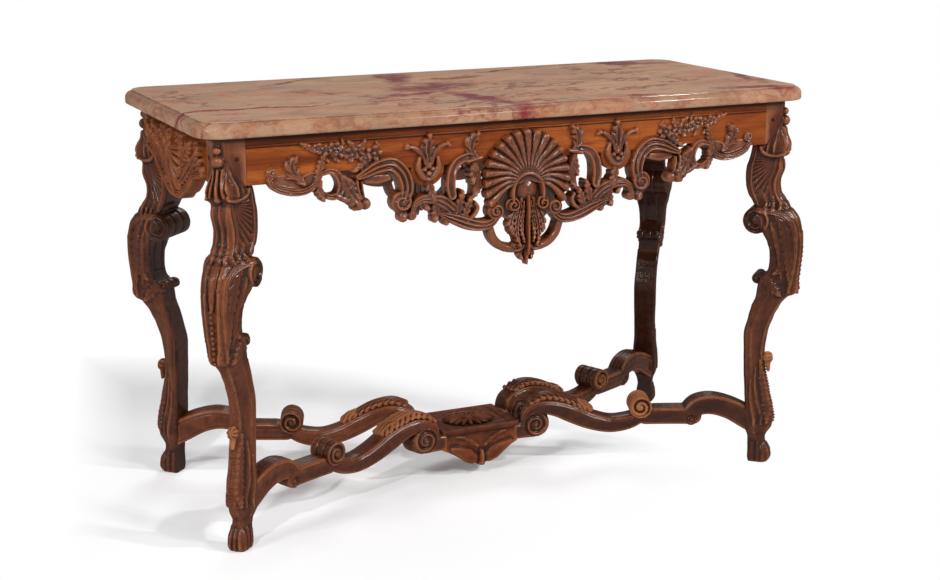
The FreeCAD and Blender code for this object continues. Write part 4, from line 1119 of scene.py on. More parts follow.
# Corner post: half side, distance of the canted corner, foot, top, foot of the leaf; berries of (height, radius)
POST_HALF, POST_CANT, POST_FOOT, POST_TOP, POST_LEAF_FOOT = 28, 29, 684, 772, 656
POST_BERRIES = [(729, 11.0), (748, 7.5)]
BERRY_OUT = 31
# Line round the panel on the back of the knee: middle height, half width, half height
BACK_PANEL = (462, 15, 33)
SCROLLS_MEET = 552
SECTION_BEND = 0.55
# Depth in the cuts painted on the backs of the scrolls, as painted shade where they face in under the table, and
# what scuffing adds on the feet
BACK_SHADE, SCUFF = 0.555, 0.045


def section_rows(table, heights):
    """Smooth columns of a section table at each height, held at its ends."""
    rows = np.array(table, float)
    z = rows[:, 0]
    slope = np.gradient(rows[:, 1:], z, axis=0)
    at = np.clip(np.searchsorted(z, heights) - 1, 0, len(z) - 2)
    run = (z[at + 1] - z[at])[:, None]
    t = np.clip((heights - z[at])[:, None] / run, 0, 1)
    low, high = rows[at, 1:], rows[at + 1, 1:]
    return ((1 + 2 * t) * (1 - t) ** 2 * low + t * (1 - t) ** 2 * run * SECTION_BEND * slope[at]
            + t * t * (3 - 2 * t) * high + t * t * (t - 1) * run * SECTION_BEND * slope[at + 1])


def wedge_field(table, d, t, z, flank, front):
    """Field of a scroll with a wide back and a narrow front ridge, with relief on flanks and front."""
    back, shoulder, nose, wide, narrow = section_rows(table, z).T
    share = np.clip((d[:, None] - shoulder) / (nose - shoulder), 0, 1)
    half = wide + (narrow - wide) * share + flank
    sides = np.abs(t)[None, :, None] - half[:, None, :]
    ahead = d[:, None, None] - (nose[None, None, :] + front[None, :, :])
    middle, panel_half, panel_reach = BACK_PANEL
    frame_line = np.maximum(np.abs(t)[:, None] - panel_half, np.abs(z - middle)[None, :] - panel_reach)
    sunk = 2.2 * np.exp(-(frame_line / 1.8) ** 2)
    behind = (back[None, None, :] + sunk[None, :, :]) - d[:, None, None]
    field = soft_most(soft_most(sides, ahead, 7.0), behind, 3.0)
    ends = np.maximum(table[0][0] - z, z - table[-1][0])
    return np.maximum(field, ends[None, None, :])


def roll_field(d, t, z, radius, half, grooves, coils):
    """Field of a scroll roll lying across: grooved barrel and spiral ends."""
    reach = np.hypot(d[:, None], z[None, :])
    angle = np.arctan2(z[None, :], d[:, None])
    barrel = np.full(t.shape, radius)
    for place in grooves:
        barrel = barrel - 2.6 * np.exp(-((np.abs(t) - place) / 2.2) ** 2)
    q = np.clip(reach / radius, 0, 1.2)
    coil = 0.5 + 0.5 * np.cos(2 * np.pi * (q * coils + angle / (2 * np.pi)))
    face = half - 5 + 5 * coil * ease(0.2, 0.34, q) + 5 * np.sqrt(np.clip(1 - (q / 0.3) ** 2, 0, 1))
    ends = np.abs(t)[None, :, None] - face[:, None, :]
    return soft_most(reach[:, None, :] - barrel[None, :, None], ends, 3.0)


def short_flutes(relief):
    """Short flutes that fan out to the back rim of the upper scroll."""
    angle = np.degrees(np.arctan2(FLUTE_HINGE[0] - relief.A, FLUTE_HINGE[1] - relief.B))
    from_rim = relief.A - np.interp(relief.B, *zip(*FLUTE_RIM))
    along = ease(6.5, 9.0, from_rim) * (1 - ease(28, 40, from_rim))
    zone = along * ease(572, 582, relief.B) * (1 - ease(652, 662, relief.B))
    relief.rise += zone * (2.0 - 4.2 * (1 - np.abs(np.cos(np.pi * angle / 8.5))) ** 1.3)


def post_field(d, t, z, ahead):
    """Field of the square corner post with its canted outer corner and the leaf on it."""
    square = (np.abs(d)[:, None] + np.abs(t)[None, :]) / math.sqrt(2) - POST_HALF
    leaf = np.where((z > POST_LEAF_FOOT)[None, :], ahead, 0)
    cant = d[:, None, None] - (POST_CANT + leaf)[None, :, :]
    field = soft_most(square[:, :, None], cant, 2.0)
    return np.maximum(field, np.maximum(POST_FOOT - z, z - POST_TOP)[None, None, :])


def leg_skin():
    """Skin of one leg in its own frame: out along the diagonal, across, up."""
    cut = sizes().leg_cut
    d = np.arange(-46, 84 + cut, cut)
    t = np.arange(-56, 56 + cut, cut)
    z = np.arange(-2 * cut, 774 + cut, cut)
    flank = Relief((d[0], z[0]), (d[-1], z[-1]), cut)
    for kind, rise, stations in FLANK_STROKES:
        flank.stroke(kind, rise, stations)
    short_flutes(flank)
    front = Relief((0, z[0]), (t[-1], z[-1]), cut)
    for kind, rise, stations in FRONT_STROKES:
        front.stroke(kind, rise, stations, cover=kind != "groove")
    for ball in FRONT_BALLS:
        front.ball(*ball)
    side = flank.rise[:len(d), :len(z)]
    ahead = front.both_sides(t, len(z))
    field = wedge_field(LOWER_SCROLL, d, t, z, side, ahead)
    field = soft_least(field, wedge_field(UPPER_SCROLL, d, t, z, side, ahead), 3.0)
    for out, up, *roll in LEG_ROLLS:
        field = soft_least(field, roll_field(d - out, t, z - up, *roll), 3.0)
    field = soft_least(field, post_field(d, t, z, ahead), 2.0)
    for height, radius in POST_BERRIES:
        plan = (d[:, None] - BERRY_OUT) ** 2 + t[None, :] ** 2
        berry = np.sqrt(plan[:, :, None] + (z[None, None, :] - height) ** 2) - radius
        field = soft_least(field, berry, 2.0)
    field = np.maximum(field, np.maximum(-z, z - POST_TOP)[None, None, :])
    points, faces, recess = carved(field, (d, t, z), 5)
    lower, upper = (section_rows(table, points[:, 2])[:, 0] for table in (LOWER_SCROLL, UPPER_SCROLL))
    # Backs of the scrolls, facing in under the table, read deeper: painted shade
    back_shaded = ease(10, 3, points[:, 0] - np.where(points[:, 2] < SCROLLS_MEET, lower, upper))
    scuffed = SCUFF * ease(62, 44, points[:, 2])
    return points, faces, recess + back_shaded * np.maximum(BACK_SHADE - recess, 0) + scuffed


def stand(points, faces, corner):
    """Leg points from its own frame to one corner of the table."""
    root = math.sqrt(0.5)
    x = LEG_X + (points[:, 0] - points[:, 1]) * root
    y = LEG_Y + (points[:, 0] + points[:, 1]) * root
    return flip_faces(np.stack([x, y, points[:, 2]], 1), faces, CORNERS[corner])


class TABLE_OT_legs(Operator):
    """Carve the four scroll legs with their posts, rolls, leaves and feet."""

    bl_idname = "table.legs"
    bl_label = "Legs"

    def execute(self, context):
        points, faces, recess = thinned(leg_skin())
        for corner in CORNERS:
            placed, turned = stand(points, faces, corner)
            name = "leg_" + corner
            # Right-hand legs take the walnut darkened as painted shade
            tone = "dark_leg" if corner.endswith("right") else "leg"
            new_piece(name + "_carving", (placed, turned, recess), finish(tone), [name])
        return {"FINISHED"}


# Ankle knob: smallest cut, height of its axis, lean, and how far out the bud's middle stands
KNOB_CUT, KNOB_Z, KNOB_LEAN, BUD_OUT = 0.9, 226, math.radians(12), 16


def knob_skin():
    """Small carved bud on a short neck with a leaf tail, in the leg's own frame."""
    d = np.arange(-6, 32, KNOB_CUT)
    t = np.arange(-15, 15, KNOB_CUT)
    z = np.arange(188, 246, KNOB_CUT)
    out = d[:, None, None] * math.cos(KNOB_LEAN) + (z[None, None, :] - KNOB_Z) * math.sin(KNOB_LEAN)
    up = -d[:, None, None] * math.sin(KNOB_LEAN) + (z[None, None, :] - KNOB_Z) * math.cos(KNOB_LEAN)
    across = np.broadcast_to(t[None, :, None], (len(d), len(t), len(z)))
    reach = np.hypot(across, up)
    lobes = 0.9 * np.cos(7 * np.arctan2(up, across)) * ease(2, 7, reach)
    bud = np.sqrt((out - BUD_OUT) ** 2 + across ** 2 + (0.86 * up) ** 2) - 10.4 + lobes
    neck = np.maximum(reach - 6, out - BUD_OUT - 1)
    down = np.clip((-2 - up) / 26, 0, 1)
    tail = np.hypot(np.hypot(out - BUD_OUT + 1 + 3 * down, across), up + 2 + 26 * down) - 7.5 + 4 * down
    field = np.maximum(soft_least(soft_least(bud, neck, 3.0), tail, 3.0), -out)
    return carved(field, (d, t, z), 3)


class TABLE_OT_knobs(Operator):
    """Carve the buds above the ankles; the front two are paler replacements."""

    bl_idname = "table.knobs"
    bl_label = "Ankle Knobs"

    def execute(self, context):
        points, faces, recess = knob_skin()
        for corner in CORNERS:
            placed, turned = stand(points, faces, corner)
            front = corner.startswith("front")
            name = "leg_knob_" + corner
            new_piece(name + "_bud", (placed, turned, recess), finish("pale" if front else "leg"),
                      [name])
        return {"FINISHED"}


# Stretcher: stations of (along the chord from the platform, above the bar's middle, width)

ARM_SCROLL = [(17, -4, 22), (28, 22, 26), (55, 31, 30), (90, 25, 36), (125, 10, 40), (163, -7, 38),
              (203, -17, 35), (238, -14, 33), (264, -4, 28), (280, 12, 20)]
ARM_ARCH = [(368, 3, 28), (390, 20, 38), (420, 25, 42), (455, 17, 44), (490, 0, 48), (516, -14, 48)]
ARM_LEAF = [(34, 41, 8), (62, 51, 9), (96, 46, 10), (126, 33, 10), (150, 19, 6)]
ARM_SHORT_LEAF = [(22, 33, 8), (42, 46, 10), (72, 51, 11), (100, 44, 10), (116, 36, 6)]
ARM_SHORT_TIP = [(110, 42, 6), (124, 35, 11), (137, 26, 8)]
ARM_TIP = [(136, 31, 6), (150, 24, 10), (162, 16, 8)]
ARM_HEAD = (45, -5, 28)
ARM_ROLL = (268, 21, 24)
ARM_EYE = (376, -9, 12)
ARM_HALF = 23.0
# Bar between the scroll and the arch, and the block of the scroll's head in the platform
ARM_BAR = [(280, -1, 36), (380, 0, 37)]
ARM_ROOT = [(-40, -14, 38), (45, -14, 38)]
ARM_SPINE = ARM_SCROLL[:-2] + [(300, 0, 37), (372, 2, 30)] + ARM_ARCH[1:]
# Where the arm leaves the platform and meets the post, and where its moulded top begins and is full
ARM_FIRST, ARM_LAST = -2.0, 507
MOULDED = (286, 300)
# Shift, half length and grooves of the roll, and of the loose cap on its end
ROLL, ROLL_CAP = (0, 29, (10,)), (32.5, 4.5, ())
ROLL_CUT, ROLL_REACH, ROLL_COILS = 1.3, 30, 2.0
LEAF_PITCH = 13.0
BAR_Z = 97.0
ARM_START = np.array([87.0, 45.0])
ARM_BOW = np.array([355.0, 112.0])
ARM_END = np.array([LEG_X, LEG_Y])


def on_bar(stations):
    """Stations with their heights from the floor."""
    return [(a, BAR_Z + b, c) for a, b, c in stations]


def arm_bow(along):
    """Sideways bow of the arm's centre line in plan, from its chord."""
    chord = ARM_END - ARM_START
    length = np.hypot(*chord)
    heading = chord / length
    side = np.array([-heading[1], heading[0]])
    u, v = (ARM_BOW - ARM_START) @ heading, (ARM_BOW - ARM_START) @ side
    centre = (u * u + v * v - u * length) / (2 * v)
    radius = math.hypot(length / 2, centre)
    bow = centre - math.copysign(1, centre) * np.sqrt(np.maximum(radius ** 2 - (along - length / 2) ** 2, 0))
    return heading, side, bow


def along_arm(points, faces, corner):
    """Arm points (along, across, up) to one quarter of the table."""
    heading, side, bow = arm_bow(points[:, 0])
    plan = ARM_START + points[:, :1] * heading + (points[:, 1] + bow)[:, None] * side
    return flip_faces(np.column_stack([plan, points[:, 2]]), faces, CORNERS[corner])


def arm_skin():
    """Skin of one stretcher arm: S-scroll, bar and arch with sunk sides and a head volute."""
    cut = sizes().arm_cut
    u = np.arange(-6, 548, cut)
    w = np.arange(-34, 34 + cut, cut)
    z = np.arange(30, 172, cut)
    drawing = Relief((u[0], z[0]), (u[-1], z[-1]), cut)
    for table in (ARM_SCROLL, ARM_ARCH, ARM_BAR, ARM_ROOT):
        drawing.stroke("round", 0, on_bar(table))
    for a, b, radius in (ARM_HEAD, ARM_EYE):
        drawing.ball(0, a, BAR_Z + b, radius)
    inner = -drawing.edge
    half = ARM_HALF - 1.5 * np.exp(-((inner - 7.0) / 1.6) ** 2)
    for a, b, radius, hand in ((*ARM_HEAD, 1), (*ARM_EYE, -1)):
        place, reach, angle = drawing.around(a, BAR_Z + b, radius)
        q = np.clip(reach / radius, 0, 1)
        coil = 0.5 + 0.5 * np.cos(2 * np.pi * (q * 2.5 - hand * angle / (2 * np.pi)))
        eye = np.sqrt(np.clip(1 - (q / 0.24) ** 2, 0, 1))
        carve = ARM_HALF - 3.5 + 4.5 * np.maximum(coil * ease(0.15, 0.3, q), eye)
        half[place] = np.where(reach < radius - 1, carve, half[place])
    across = np.abs(w)
    spine = smooth_line(on_bar(ARM_SPINE))
    upper = ease(-3, 5, z[None, :] - np.interp(u, spine[:, 0], spine[:, 1])[:, None])
    moulded = ease(*MOULDED, u)
    plain = 0.006 * across ** 2
    fluted = 1.6 * np.abs(np.cos(across * 0.33)) - 0.4
    top = plain[None, :] * (1 - moulded)[:, None] - fluted[None, :] * moulded[:, None]
    profile = drawing.edge[:len(u), None, :len(z)] + top[:, :, None] * upper[:, None, :]
    field = soft_most(profile, across[None, :, None] - half[:len(u), None, :len(z)], 10.0)
    field = np.maximum(field, np.maximum(ARM_FIRST - u, u - ARM_LAST)[:, None, None])
    return carved(field, (u, w, z), 4)


def leaf_skin(table, wide):
    """Skin of a ribbed leaf lying on an arm."""
    cut = sizes().arm_cut * 0.85
    rows = on_bar([(a, b, c + 3) for a, b, c in table])
    u = np.arange(min(r[0] for r in rows) - 14, max(r[0] for r in rows) + 14, cut)
    w = np.arange(-30, 30 + cut, cut)
    z = np.arange(min(r[1] for r in rows) - 14, max(r[1] for r in rows) + 16, cut)
    drawing = Relief((u[0], z[0]), (u[-1], z[-1]), cut)
    drawing.stroke("round", 0, rows)
    edge = drawing.edge[:len(u), :len(z)]
    across = np.abs(w)
    lobe = np.abs(np.cos(np.pi * (u[:, None] - 1.1 * across[None, :]) / LEAF_PITCH))
    cleft = (1 - lobe) ** 1.6 * ease(0.4 * wide, 0.75 * wide, across)[None, :]
    ridges = 1.5 * np.abs(np.cos(0.36 * across)) ** 2 * ease(0.7 * wide, 0.5 * wide, across)
    relief = (0.5 + ridges - 0.006 * across ** 2)[None, :] - 5.0 * cleft
    margin = np.abs(np.cos(np.pi * (u - 1.1 * wide) / LEAF_PITCH)) ** 0.6
    half = wide * (0.86 + 0.2 * margin)
    field = soft_most(edge[:, None, :] - relief[:, :, None], (across[None, :] - half[:, None])[:, :, None], 3.0)
    return carved(field, (u, w, z), 3)


def arm_roll_skin(shift, half, grooves):
    """Skin of the roll at the end of the S-scroll, or of the loose cap on its end."""
    a, b, radius = ARM_ROLL
    u = np.arange(a - ROLL_REACH, a + ROLL_REACH, ROLL_CUT)
    w = np.arange(-40, 34, ROLL_CUT)
    z = np.arange(BAR_Z + b - ROLL_REACH, BAR_Z + b + ROLL_REACH, ROLL_CUT)
    field = roll_field(u - a, w + shift, z - BAR_Z - b, radius, half, grooves, ROLL_COILS)
    return carved(field, (u, w, z), 3)


class TABLE_OT_arms(Operator):
    """Carve the four stretcher arms with their rolls and leaves, some of them paler replacements."""

    bl_idname = "table.arms"
    bl_label = "Stretcher Arms"

    def execute(self, context):
        arm = arm_skin()
        leaf = leaf_skin(ARM_LEAF, wide=21)
        tip = leaf_skin(ARM_TIP, wide=17)
        short_leaf = leaf_skin(ARM_SHORT_LEAF, wide=24)
        short_tip = leaf_skin(ARM_SHORT_TIP, wide=20)
        roll = arm_roll_skin(*ROLL)
        dark = {
            "front_left": [arm, roll], "front_right": [arm, leaf],
            "back_left": [arm, leaf, roll], "back_right": [arm, leaf, tip, roll],
        }
        pale = {
            "arm_leaf_front_left": [short_leaf, short_tip],
            "arm_leaf_tip_back_left": [tip], "arm_leaf_tip_front_right": [tip],
            "arm_roll_front_right": [roll], "arm_roll_cap_back_right": [arm_roll_skin(*ROLL_CAP)],
        }
        for corner, skins in dark.items():
            # Right-hand arms take the walnut darkened as painted shade
            tone = "dark_arm" if corner.endswith("right") else "arm"
            self.place("arm_" + corner, skins, corner, tone, "carved_walnut")
        for node, skins in pale.items():
            corner = "_".join(node.split("_")[-2:])
            self.place(node, skins, corner, "pale", "pale_walnut")
        return {"FINISHED"}

    def place(self, node, skins, corner, tone, slot):
        placed = [(*along_arm(points, faces, corner), recess) for points, faces, recess in skins]
        new_piece(node + "_carving", joined(placed), finish(tone), [node])


# Platform: half sizes, underside, top, and where the drops begin
PLATFORM_HALF_X, PLATFORM_HALF_Y, PLATFORM_UNDER, PLATFORM_TOP, DROP_FROM_Y = 84, 65, 65, 105, 44
# Outline of a drop: (across, depth under the block)
PLATFORM_DROP = [(0, 43), (8, 42), (14, 37), (20, 39), (28, 37), (36, 33), (48, 23), (57, 17), (72, 8), (84, 3),
                 (95, 0)]
# Half sizes of the sunk field and of the oval for the rosette, and foot of the ledge round the top
SUNK_HALF, OVAL_HALF, LEDGE = (76, 57), (59, 48), (94, 97)
# Depth in the cuts painted on the top, as painted shadow of the table over it, and in the oval, as painted shade
# between the rosette's petals
TOP_SHADOW_DEPTH, PETAL_GAP_SHADE = 0.535, 0.62
PLATFORM_STROKES = [
    # rounded lobes over the lower edge, light sprigs above them and the middle drop
    ("round", 6, [(66, 64, 12), (48, 55, 24), (32, 46, 30), (18, 38, 24)]),
    ("round", 2.5, [(56, 88, 4), (38, 84, 6), (20, 74, 5)]),
    ("leaf", 3, [(34, 80, 4), (22, 74, 9), (8, 64, 6)]),
    ("round", 9, [(0, 52, 8), (0, 42, 14), (0, 27, 16)]),
]


class TABLE_OT_platform(Operator):
    """Carve the block where the arms meet: moulded edge, sunk top, leaf drops and rosette."""

    bl_idname = "table.platform"
    bl_label = "Stretcher Platform"

    def execute(self, context):
        cut = sizes().arm_cut
        x = np.arange(-92, 92 + cut, cut)
        y = np.arange(-88, 88 + cut, cut)
        z = np.arange(14, 112, cut)
        drop = np.interp(np.abs(x), *zip(*PLATFORM_DROP))
        low = np.where((np.abs(y) > DROP_FROM_Y)[None, :], PLATFORM_UNDER - drop[:, None], PLATFORM_UNDER)
        sunk = np.maximum(np.abs(x)[:, None] / SUNK_HALF[0], np.abs(y)[None, :] / SUNK_HALF[1])
        oval = np.hypot(x[:, None] / OVAL_HALF[0], y[None, :] / OVAL_HALF[1])
        top = PLATFORM_TOP - 3.0 * (1 - ease(0.9, 0.96, sunk)) - 2.0 * (1 - ease(0.93, 1.0, oval))
        front = Relief((0, z[0]), (x[-1], z[-1]), cut)
        for kind, rise, stations in PLATFORM_STROKES:
            front.stroke(kind, rise, stations)
        ahead = front.both_sides(x, len(z))
        ledge = 3.0 * ease(*LEDGE, z)
        sides = np.abs(x)[:, None, None] - (PLATFORM_HALF_X + ledge)[None, None, :]
        faces = np.abs(y)[None, :, None] - (PLATFORM_HALF_Y + ledge[None, None, :] + ahead[:, None, :])
        field = soft_most(soft_most(sides, faces, 2.0), (z[None, None, :] - top[:, :, None]), 2.0)
        field = soft_most(field, low[:, :, None] - z[None, None, :], 2.0)
        points, skin_faces, recess = carved(field, (x, y, z), 4)
        on_top = points[:, 2] > LEDGE[1]
        in_oval = on_top & (np.hypot(points[:, 0] / OVAL_HALF[0], points[:, 1] / OVAL_HALF[1]) < 0.97)
        # Painted shadow of the table over the platform's top, and painted shade in the oval between the rosette's
        # petals
        recess = np.where(on_top, np.maximum(recess, TOP_SHADOW_DEPTH), recess)
        skin = points, skin_faces, np.where(in_oval, np.maximum(recess, PETAL_GAP_SHADE), recess)
        name = "stretcher_platform"
        new_piece(name + "_carving", skin, finish("platform"), [name])
        rosette_petals()
        return {"FINISHED"}


# Pieces that repeat, made with geometry nodes


# Depth in the cuts that pieces made by a rule read as; the rosette's is deeper, for painted shade like the
# platform's top
RULE_RECESS, ROSETTE_RECESS = 0.42, 0.525


class Rule(Tree):
    """Geometry node tree with named sizes."""

    def __init__(self, name, inputs):
        super().__init__(bpy.data.node_groups.new(name, "GeometryNodeTree"))
        face = self.tree.interface
        face.new_socket("Geometry", in_out="INPUT", socket_type="NodeSocketGeometry")
        self.names = {}
        for label, kind, value in inputs:
            socket = face.new_socket(label, in_out="INPUT", socket_type="NodeSocket" + kind)
            socket.default_value = value
            self.names[label] = (socket.identifier, value)
        face.new_socket("Geometry", in_out="OUTPUT", socket_type="NodeSocketGeometry")
        self.given = self.tree.nodes.new("NodeGroupInput").outputs
        self.end = self.tree.nodes.new("NodeGroupOutput")

    def close(self, geometry, material):
        """Make the copies real, smooth and finished."""
        real = self.node("GeometryNodeRealizeInstances", Geometry=geometry)
        smooth = self.node("GeometryNodeSetShadeSmooth", Geometry=real.outputs[0])
        paint = self.node("GeometryNodeSetMaterial", Geometry=smooth.outputs[0], Material=material)
        self.feed(self.end.inputs[0], paint.outputs[0])

    def run(self, name, carrier, slot, nodes=(), recess=RULE_RECESS):
        """Evaluate on a carrier mesh and keep the result as a plain piece."""
        guide = bpy.data.objects.new(name + "_guide", carrier)
        bpy.context.scene.collection.objects.link(guide)
        modifier = guide.modifiers.new("rule", "NODES")
        modifier.node_group = self.tree
        for identifier, value in self.names.values():
            modifier[identifier] = value
        mesh = evaluated_mesh(guide)
        mesh.name = name
        guide.modifiers.clear()
        bpy.data.objects.remove(guide)
        if "recess" not in mesh.attributes:
            depth = mesh.attributes.new("recess", "FLOAT", "POINT")
            depth.data.foreach_set("value", np.full(len(mesh.vertices), recess, np.float32))
        return add_piece(name, mesh, nodes)


def path_mesh(name, lines):
    """Mesh of open polylines, in millimetres, for a rule to follow."""
    points, edges = [], []
    for line in lines:
        start = len(points)
        points += [tuple(v * MM for v in p) for p in line]
        edges += [(start + k, start + k + 1) for k in range(len(line) - 1)]
    mesh = bpy.data.meshes.new(name)
    mesh.from_pydata(points, edges, [])
    return mesh


def bead_rows(name, lines, radius, pitch):
    """Row of carved beads set along each line."""
    rule = Rule(name + "_rule", [("Radius", "Float", radius), ("Pitch", "Float", pitch)])
    curve = rule.node("GeometryNodeMeshToCurve", Mesh=rule.given["Geometry"])
    spots = rule.node("GeometryNodeCurveToPoints", mode="LENGTH", Curve=curve.outputs[0],
                      Length=rule.given["Pitch"])
    ball = rule.node("GeometryNodeMeshIcoSphere", Radius=rule.given["Radius"], Subdivisions=2)
    row = rule.node("GeometryNodeInstanceOnPoints", Points=spots.outputs["Points"],
                    Instance=ball.outputs["Mesh"])
    rule.close(row.outputs[0], finish("leg"))
    return rule.run(name, path_mesh(name + "_path", lines), "carved_walnut")


def leg_front_line(low, high, lift, count=24):
    """Points on the front ridge of the leg between two heights, in the leg's own frame."""
    z = np.linspace(high, low, count)
    nose = section_rows(LOWER_SCROLL, z)[:, 2]
    return np.stack([nose + lift, np.zeros(count), z], 1)


# Bead rows: name, lowest and highest point, lift off the ridge, size of the bead, pitch in metres
BEAD_ROWS = [
    ("knee_beads", 374, 470, 1.0, "knee_bead", 0.0088),
    ("ankle_beads", 92, 214, -0.2, "ankle_bead", 0.0060),
]


class TABLE_OT_beads(Operator):
    """Set the bead rows on the knee pendants and above the feet."""

    bl_idname = "table.beads"
    bl_label = "Bead Rows"

    def execute(self, context):
        no_faces = np.zeros((0, 4), int)
        for name, low, high, lift, size, pitch in BEAD_ROWS:
            line = leg_front_line(low, high, lift)
            lines = [stand(line, no_faces, corner)[0] for corner in CORNERS]
            bead_rows(name, lines, getattr(sizes(), size), pitch)
        return {"FINISHED"}


# Rosette in metres: ring of the petals and its stretch, half sizes of a petal, how much broader a petal is
# for each metre off the long axis, heart and its flattening, height
ROSETTE_RING, ROSETTE_STRETCH = 0.0245, (1.4, 1.0, 1.0)
PETAL_LENGTH, PETAL_WIDTH, PETAL_HEIGHT, PETAL_SPREAD = 0.0195, 0.0030, 0.0045, 22.0
ROSETTE_HEART, HEART_SHAPE, ROSETTE_Z = 0.009, (1.25, 1.0, 0.6), 0.1035


def rosette_petals():
    """Fluted oval rosette sunk in the platform's top: one petal repeated round the middle."""
    count = sizes().rosette_petals
    rule = Rule("rosette_rule", [("Petals", "Int", count), ("Petal length", "Float", PETAL_LENGTH)])
    circle = rule.node("GeometryNodeMeshCircle", Vertices=rule.given["Petals"], Radius=ROSETTE_RING)
    oval = rule.node("GeometryNodeTransform", Geometry=circle.outputs["Mesh"], Scale=ROSETTE_STRETCH)
    petal = rule.node("GeometryNodeMeshUVSphere", Segments=12, Rings=7, Radius=1.0)
    size = rule.node("ShaderNodeCombineXYZ", X=rule.given["Petal length"], Y=PETAL_WIDTH, Z=PETAL_HEIGHT)
    shape = rule.node("GeometryNodeTransform", Geometry=petal.outputs["Mesh"], Scale=size.outputs[0])
    place = rule.node("GeometryNodeInputPosition").outputs[0]
    turn = rule.node("FunctionNodeAlignRotationToVector", Vector=place, axis="X")
    off_axis = rule.maths("ABSOLUTE", rule.node("ShaderNodeSeparateXYZ", Vector=place).outputs["Y"])
    broader = rule.node("ShaderNodeMath", {0: off_axis, 1: PETAL_SPREAD, 2: 1.0}, operation="MULTIPLY_ADD")
    spread = rule.node("ShaderNodeCombineXYZ", X=1.0, Y=broader.outputs[0], Z=1.0)
    ring = rule.node("GeometryNodeInstanceOnPoints", Points=oval.outputs[0], Instance=shape.outputs[0],
                     Rotation=turn.outputs[0], Scale=spread.outputs[0])
    heart = rule.node("GeometryNodeMeshUVSphere", Segments=20, Rings=10, Radius=ROSETTE_HEART)
    flat = rule.node("GeometryNodeTransform", Geometry=heart.outputs["Mesh"], Scale=HEART_SHAPE)
    both = rule.node("GeometryNodeJoinGeometry")
    for part in (ring, flat):
        rule.feed(both.inputs[0], part.outputs[0])
    lift = rule.node("GeometryNodeTransform", Geometry=both.outputs[0], Translation=(0, 0, ROSETTE_Z))
    rule.close(lift.outputs[0], finish("platform"))
    seed = path_mesh("rosette_seed", [[(0, 0, 0), (1, 0, 0)]])
    return rule.run("platform_rosette", seed, "carved_walnut", recess=ROSETTE_RECESS)


def swept_rods(name, lines, radius, sides, slot, tone, nodes=()):
    """Round rod along each line, with closed ends."""
    rule = Rule(name + "_rule", [("Radius", "Float", radius)])
    curve = rule.node("GeometryNodeMeshToCurve", Mesh=rule.given["Geometry"])
    profile = rule.node("GeometryNodeCurvePrimitiveCircle", Radius=rule.given["Radius"], Resolution=sides)
    swept = rule.node("GeometryNodeCurveToMesh", Curve=curve.outputs[0], Profile_Curve=profile.outputs[0],
                      Fill_Caps=True)
    rule.close(swept.outputs[0], finish(tone))
    return rule.run(name, path_mesh(name + "_path", lines), slot, nodes)


# Bead along the rails: depth under their top in millimetres, radius in metres, sides
RAIL_BEAD_DEPTH, RAIL_BEAD_RADIUS, RAIL_BEAD_SIDES = 19, 0.0021, 10


class TABLE_OT_rail_mouldings(Operator):
    """Run the thin bead moulding along the four rails."""

    bl_idname = "table.rail_mouldings"
    bl_label = "Rail Mouldings"

    def execute(self, context):
        z = RAIL_TOP - RAIL_BEAD_DEPTH
        long_lines = [[(s * LONG_HALF, s * FRONT, z), (-s * LONG_HALF, s * FRONT, z)] for s in (-1, 1)]
        end_lines = [[(s * END, s * END_HALF, z), (s * END, -s * END_HALF, z)] for s in (-1, 1)]
        size = RAIL_BEAD_RADIUS, RAIL_BEAD_SIDES
        swept_rods("long_rail_bead", long_lines, *size, "apron_walnut", "rail")
        swept_rods("end_rail_bead", end_lines, *size, "apron_walnut", "end_rail")
        return {"FINISHED"}


# Pegs: place along the long and the end aprons, depth under the rail's top, how deep they go, stand proud, sides
PEG_X, PEG_Y, PEG_DEPTH, PEG_IN, PEG_PROUD, PEG_SIDES = 558, 223, 40, 29, 0.8, 14


class TABLE_OT_pegs(Operator):
    """Drive the pegs that lock the apron tenons in the posts."""

    bl_idname = "table.pegs"
    bl_label = "Pegs"

    def execute(self, context):
        z = RAIL_TOP - PEG_DEPTH
        lines = []
        for sx, sy in CORNERS.values():
            lines.append([(sx * PEG_X, sy * (FRONT + end), z) for end in (-PEG_IN, PEG_PROUD)])
            lines.append([(sx * (END + end), sy * PEG_Y, z) for end in (-PEG_IN, PEG_PROUD)])
        swept_rods("apron_peg_rods", lines, sizes().peg_radius, PEG_SIDES, "peg_wood", "peg", ["apron_pegs"])
        return {"FINISHED"}


# Edge of the slab, in from its widest line and up: lower arris from the bottom, ovolo, and step from the top
SLAB_ARRIS = [(14, 0), (4, 0), (1.8, 0.5), (0.5, 1.8), (0, 4)]
SLAB_OVOLO, SLAB_FILLET, SLAB_CORNER = 13, 3, 52.0
SLAB_CROWN = [(13.3, -2.7), (13.4, -0.9), (13.8, -0.3), (14.6, 0)]


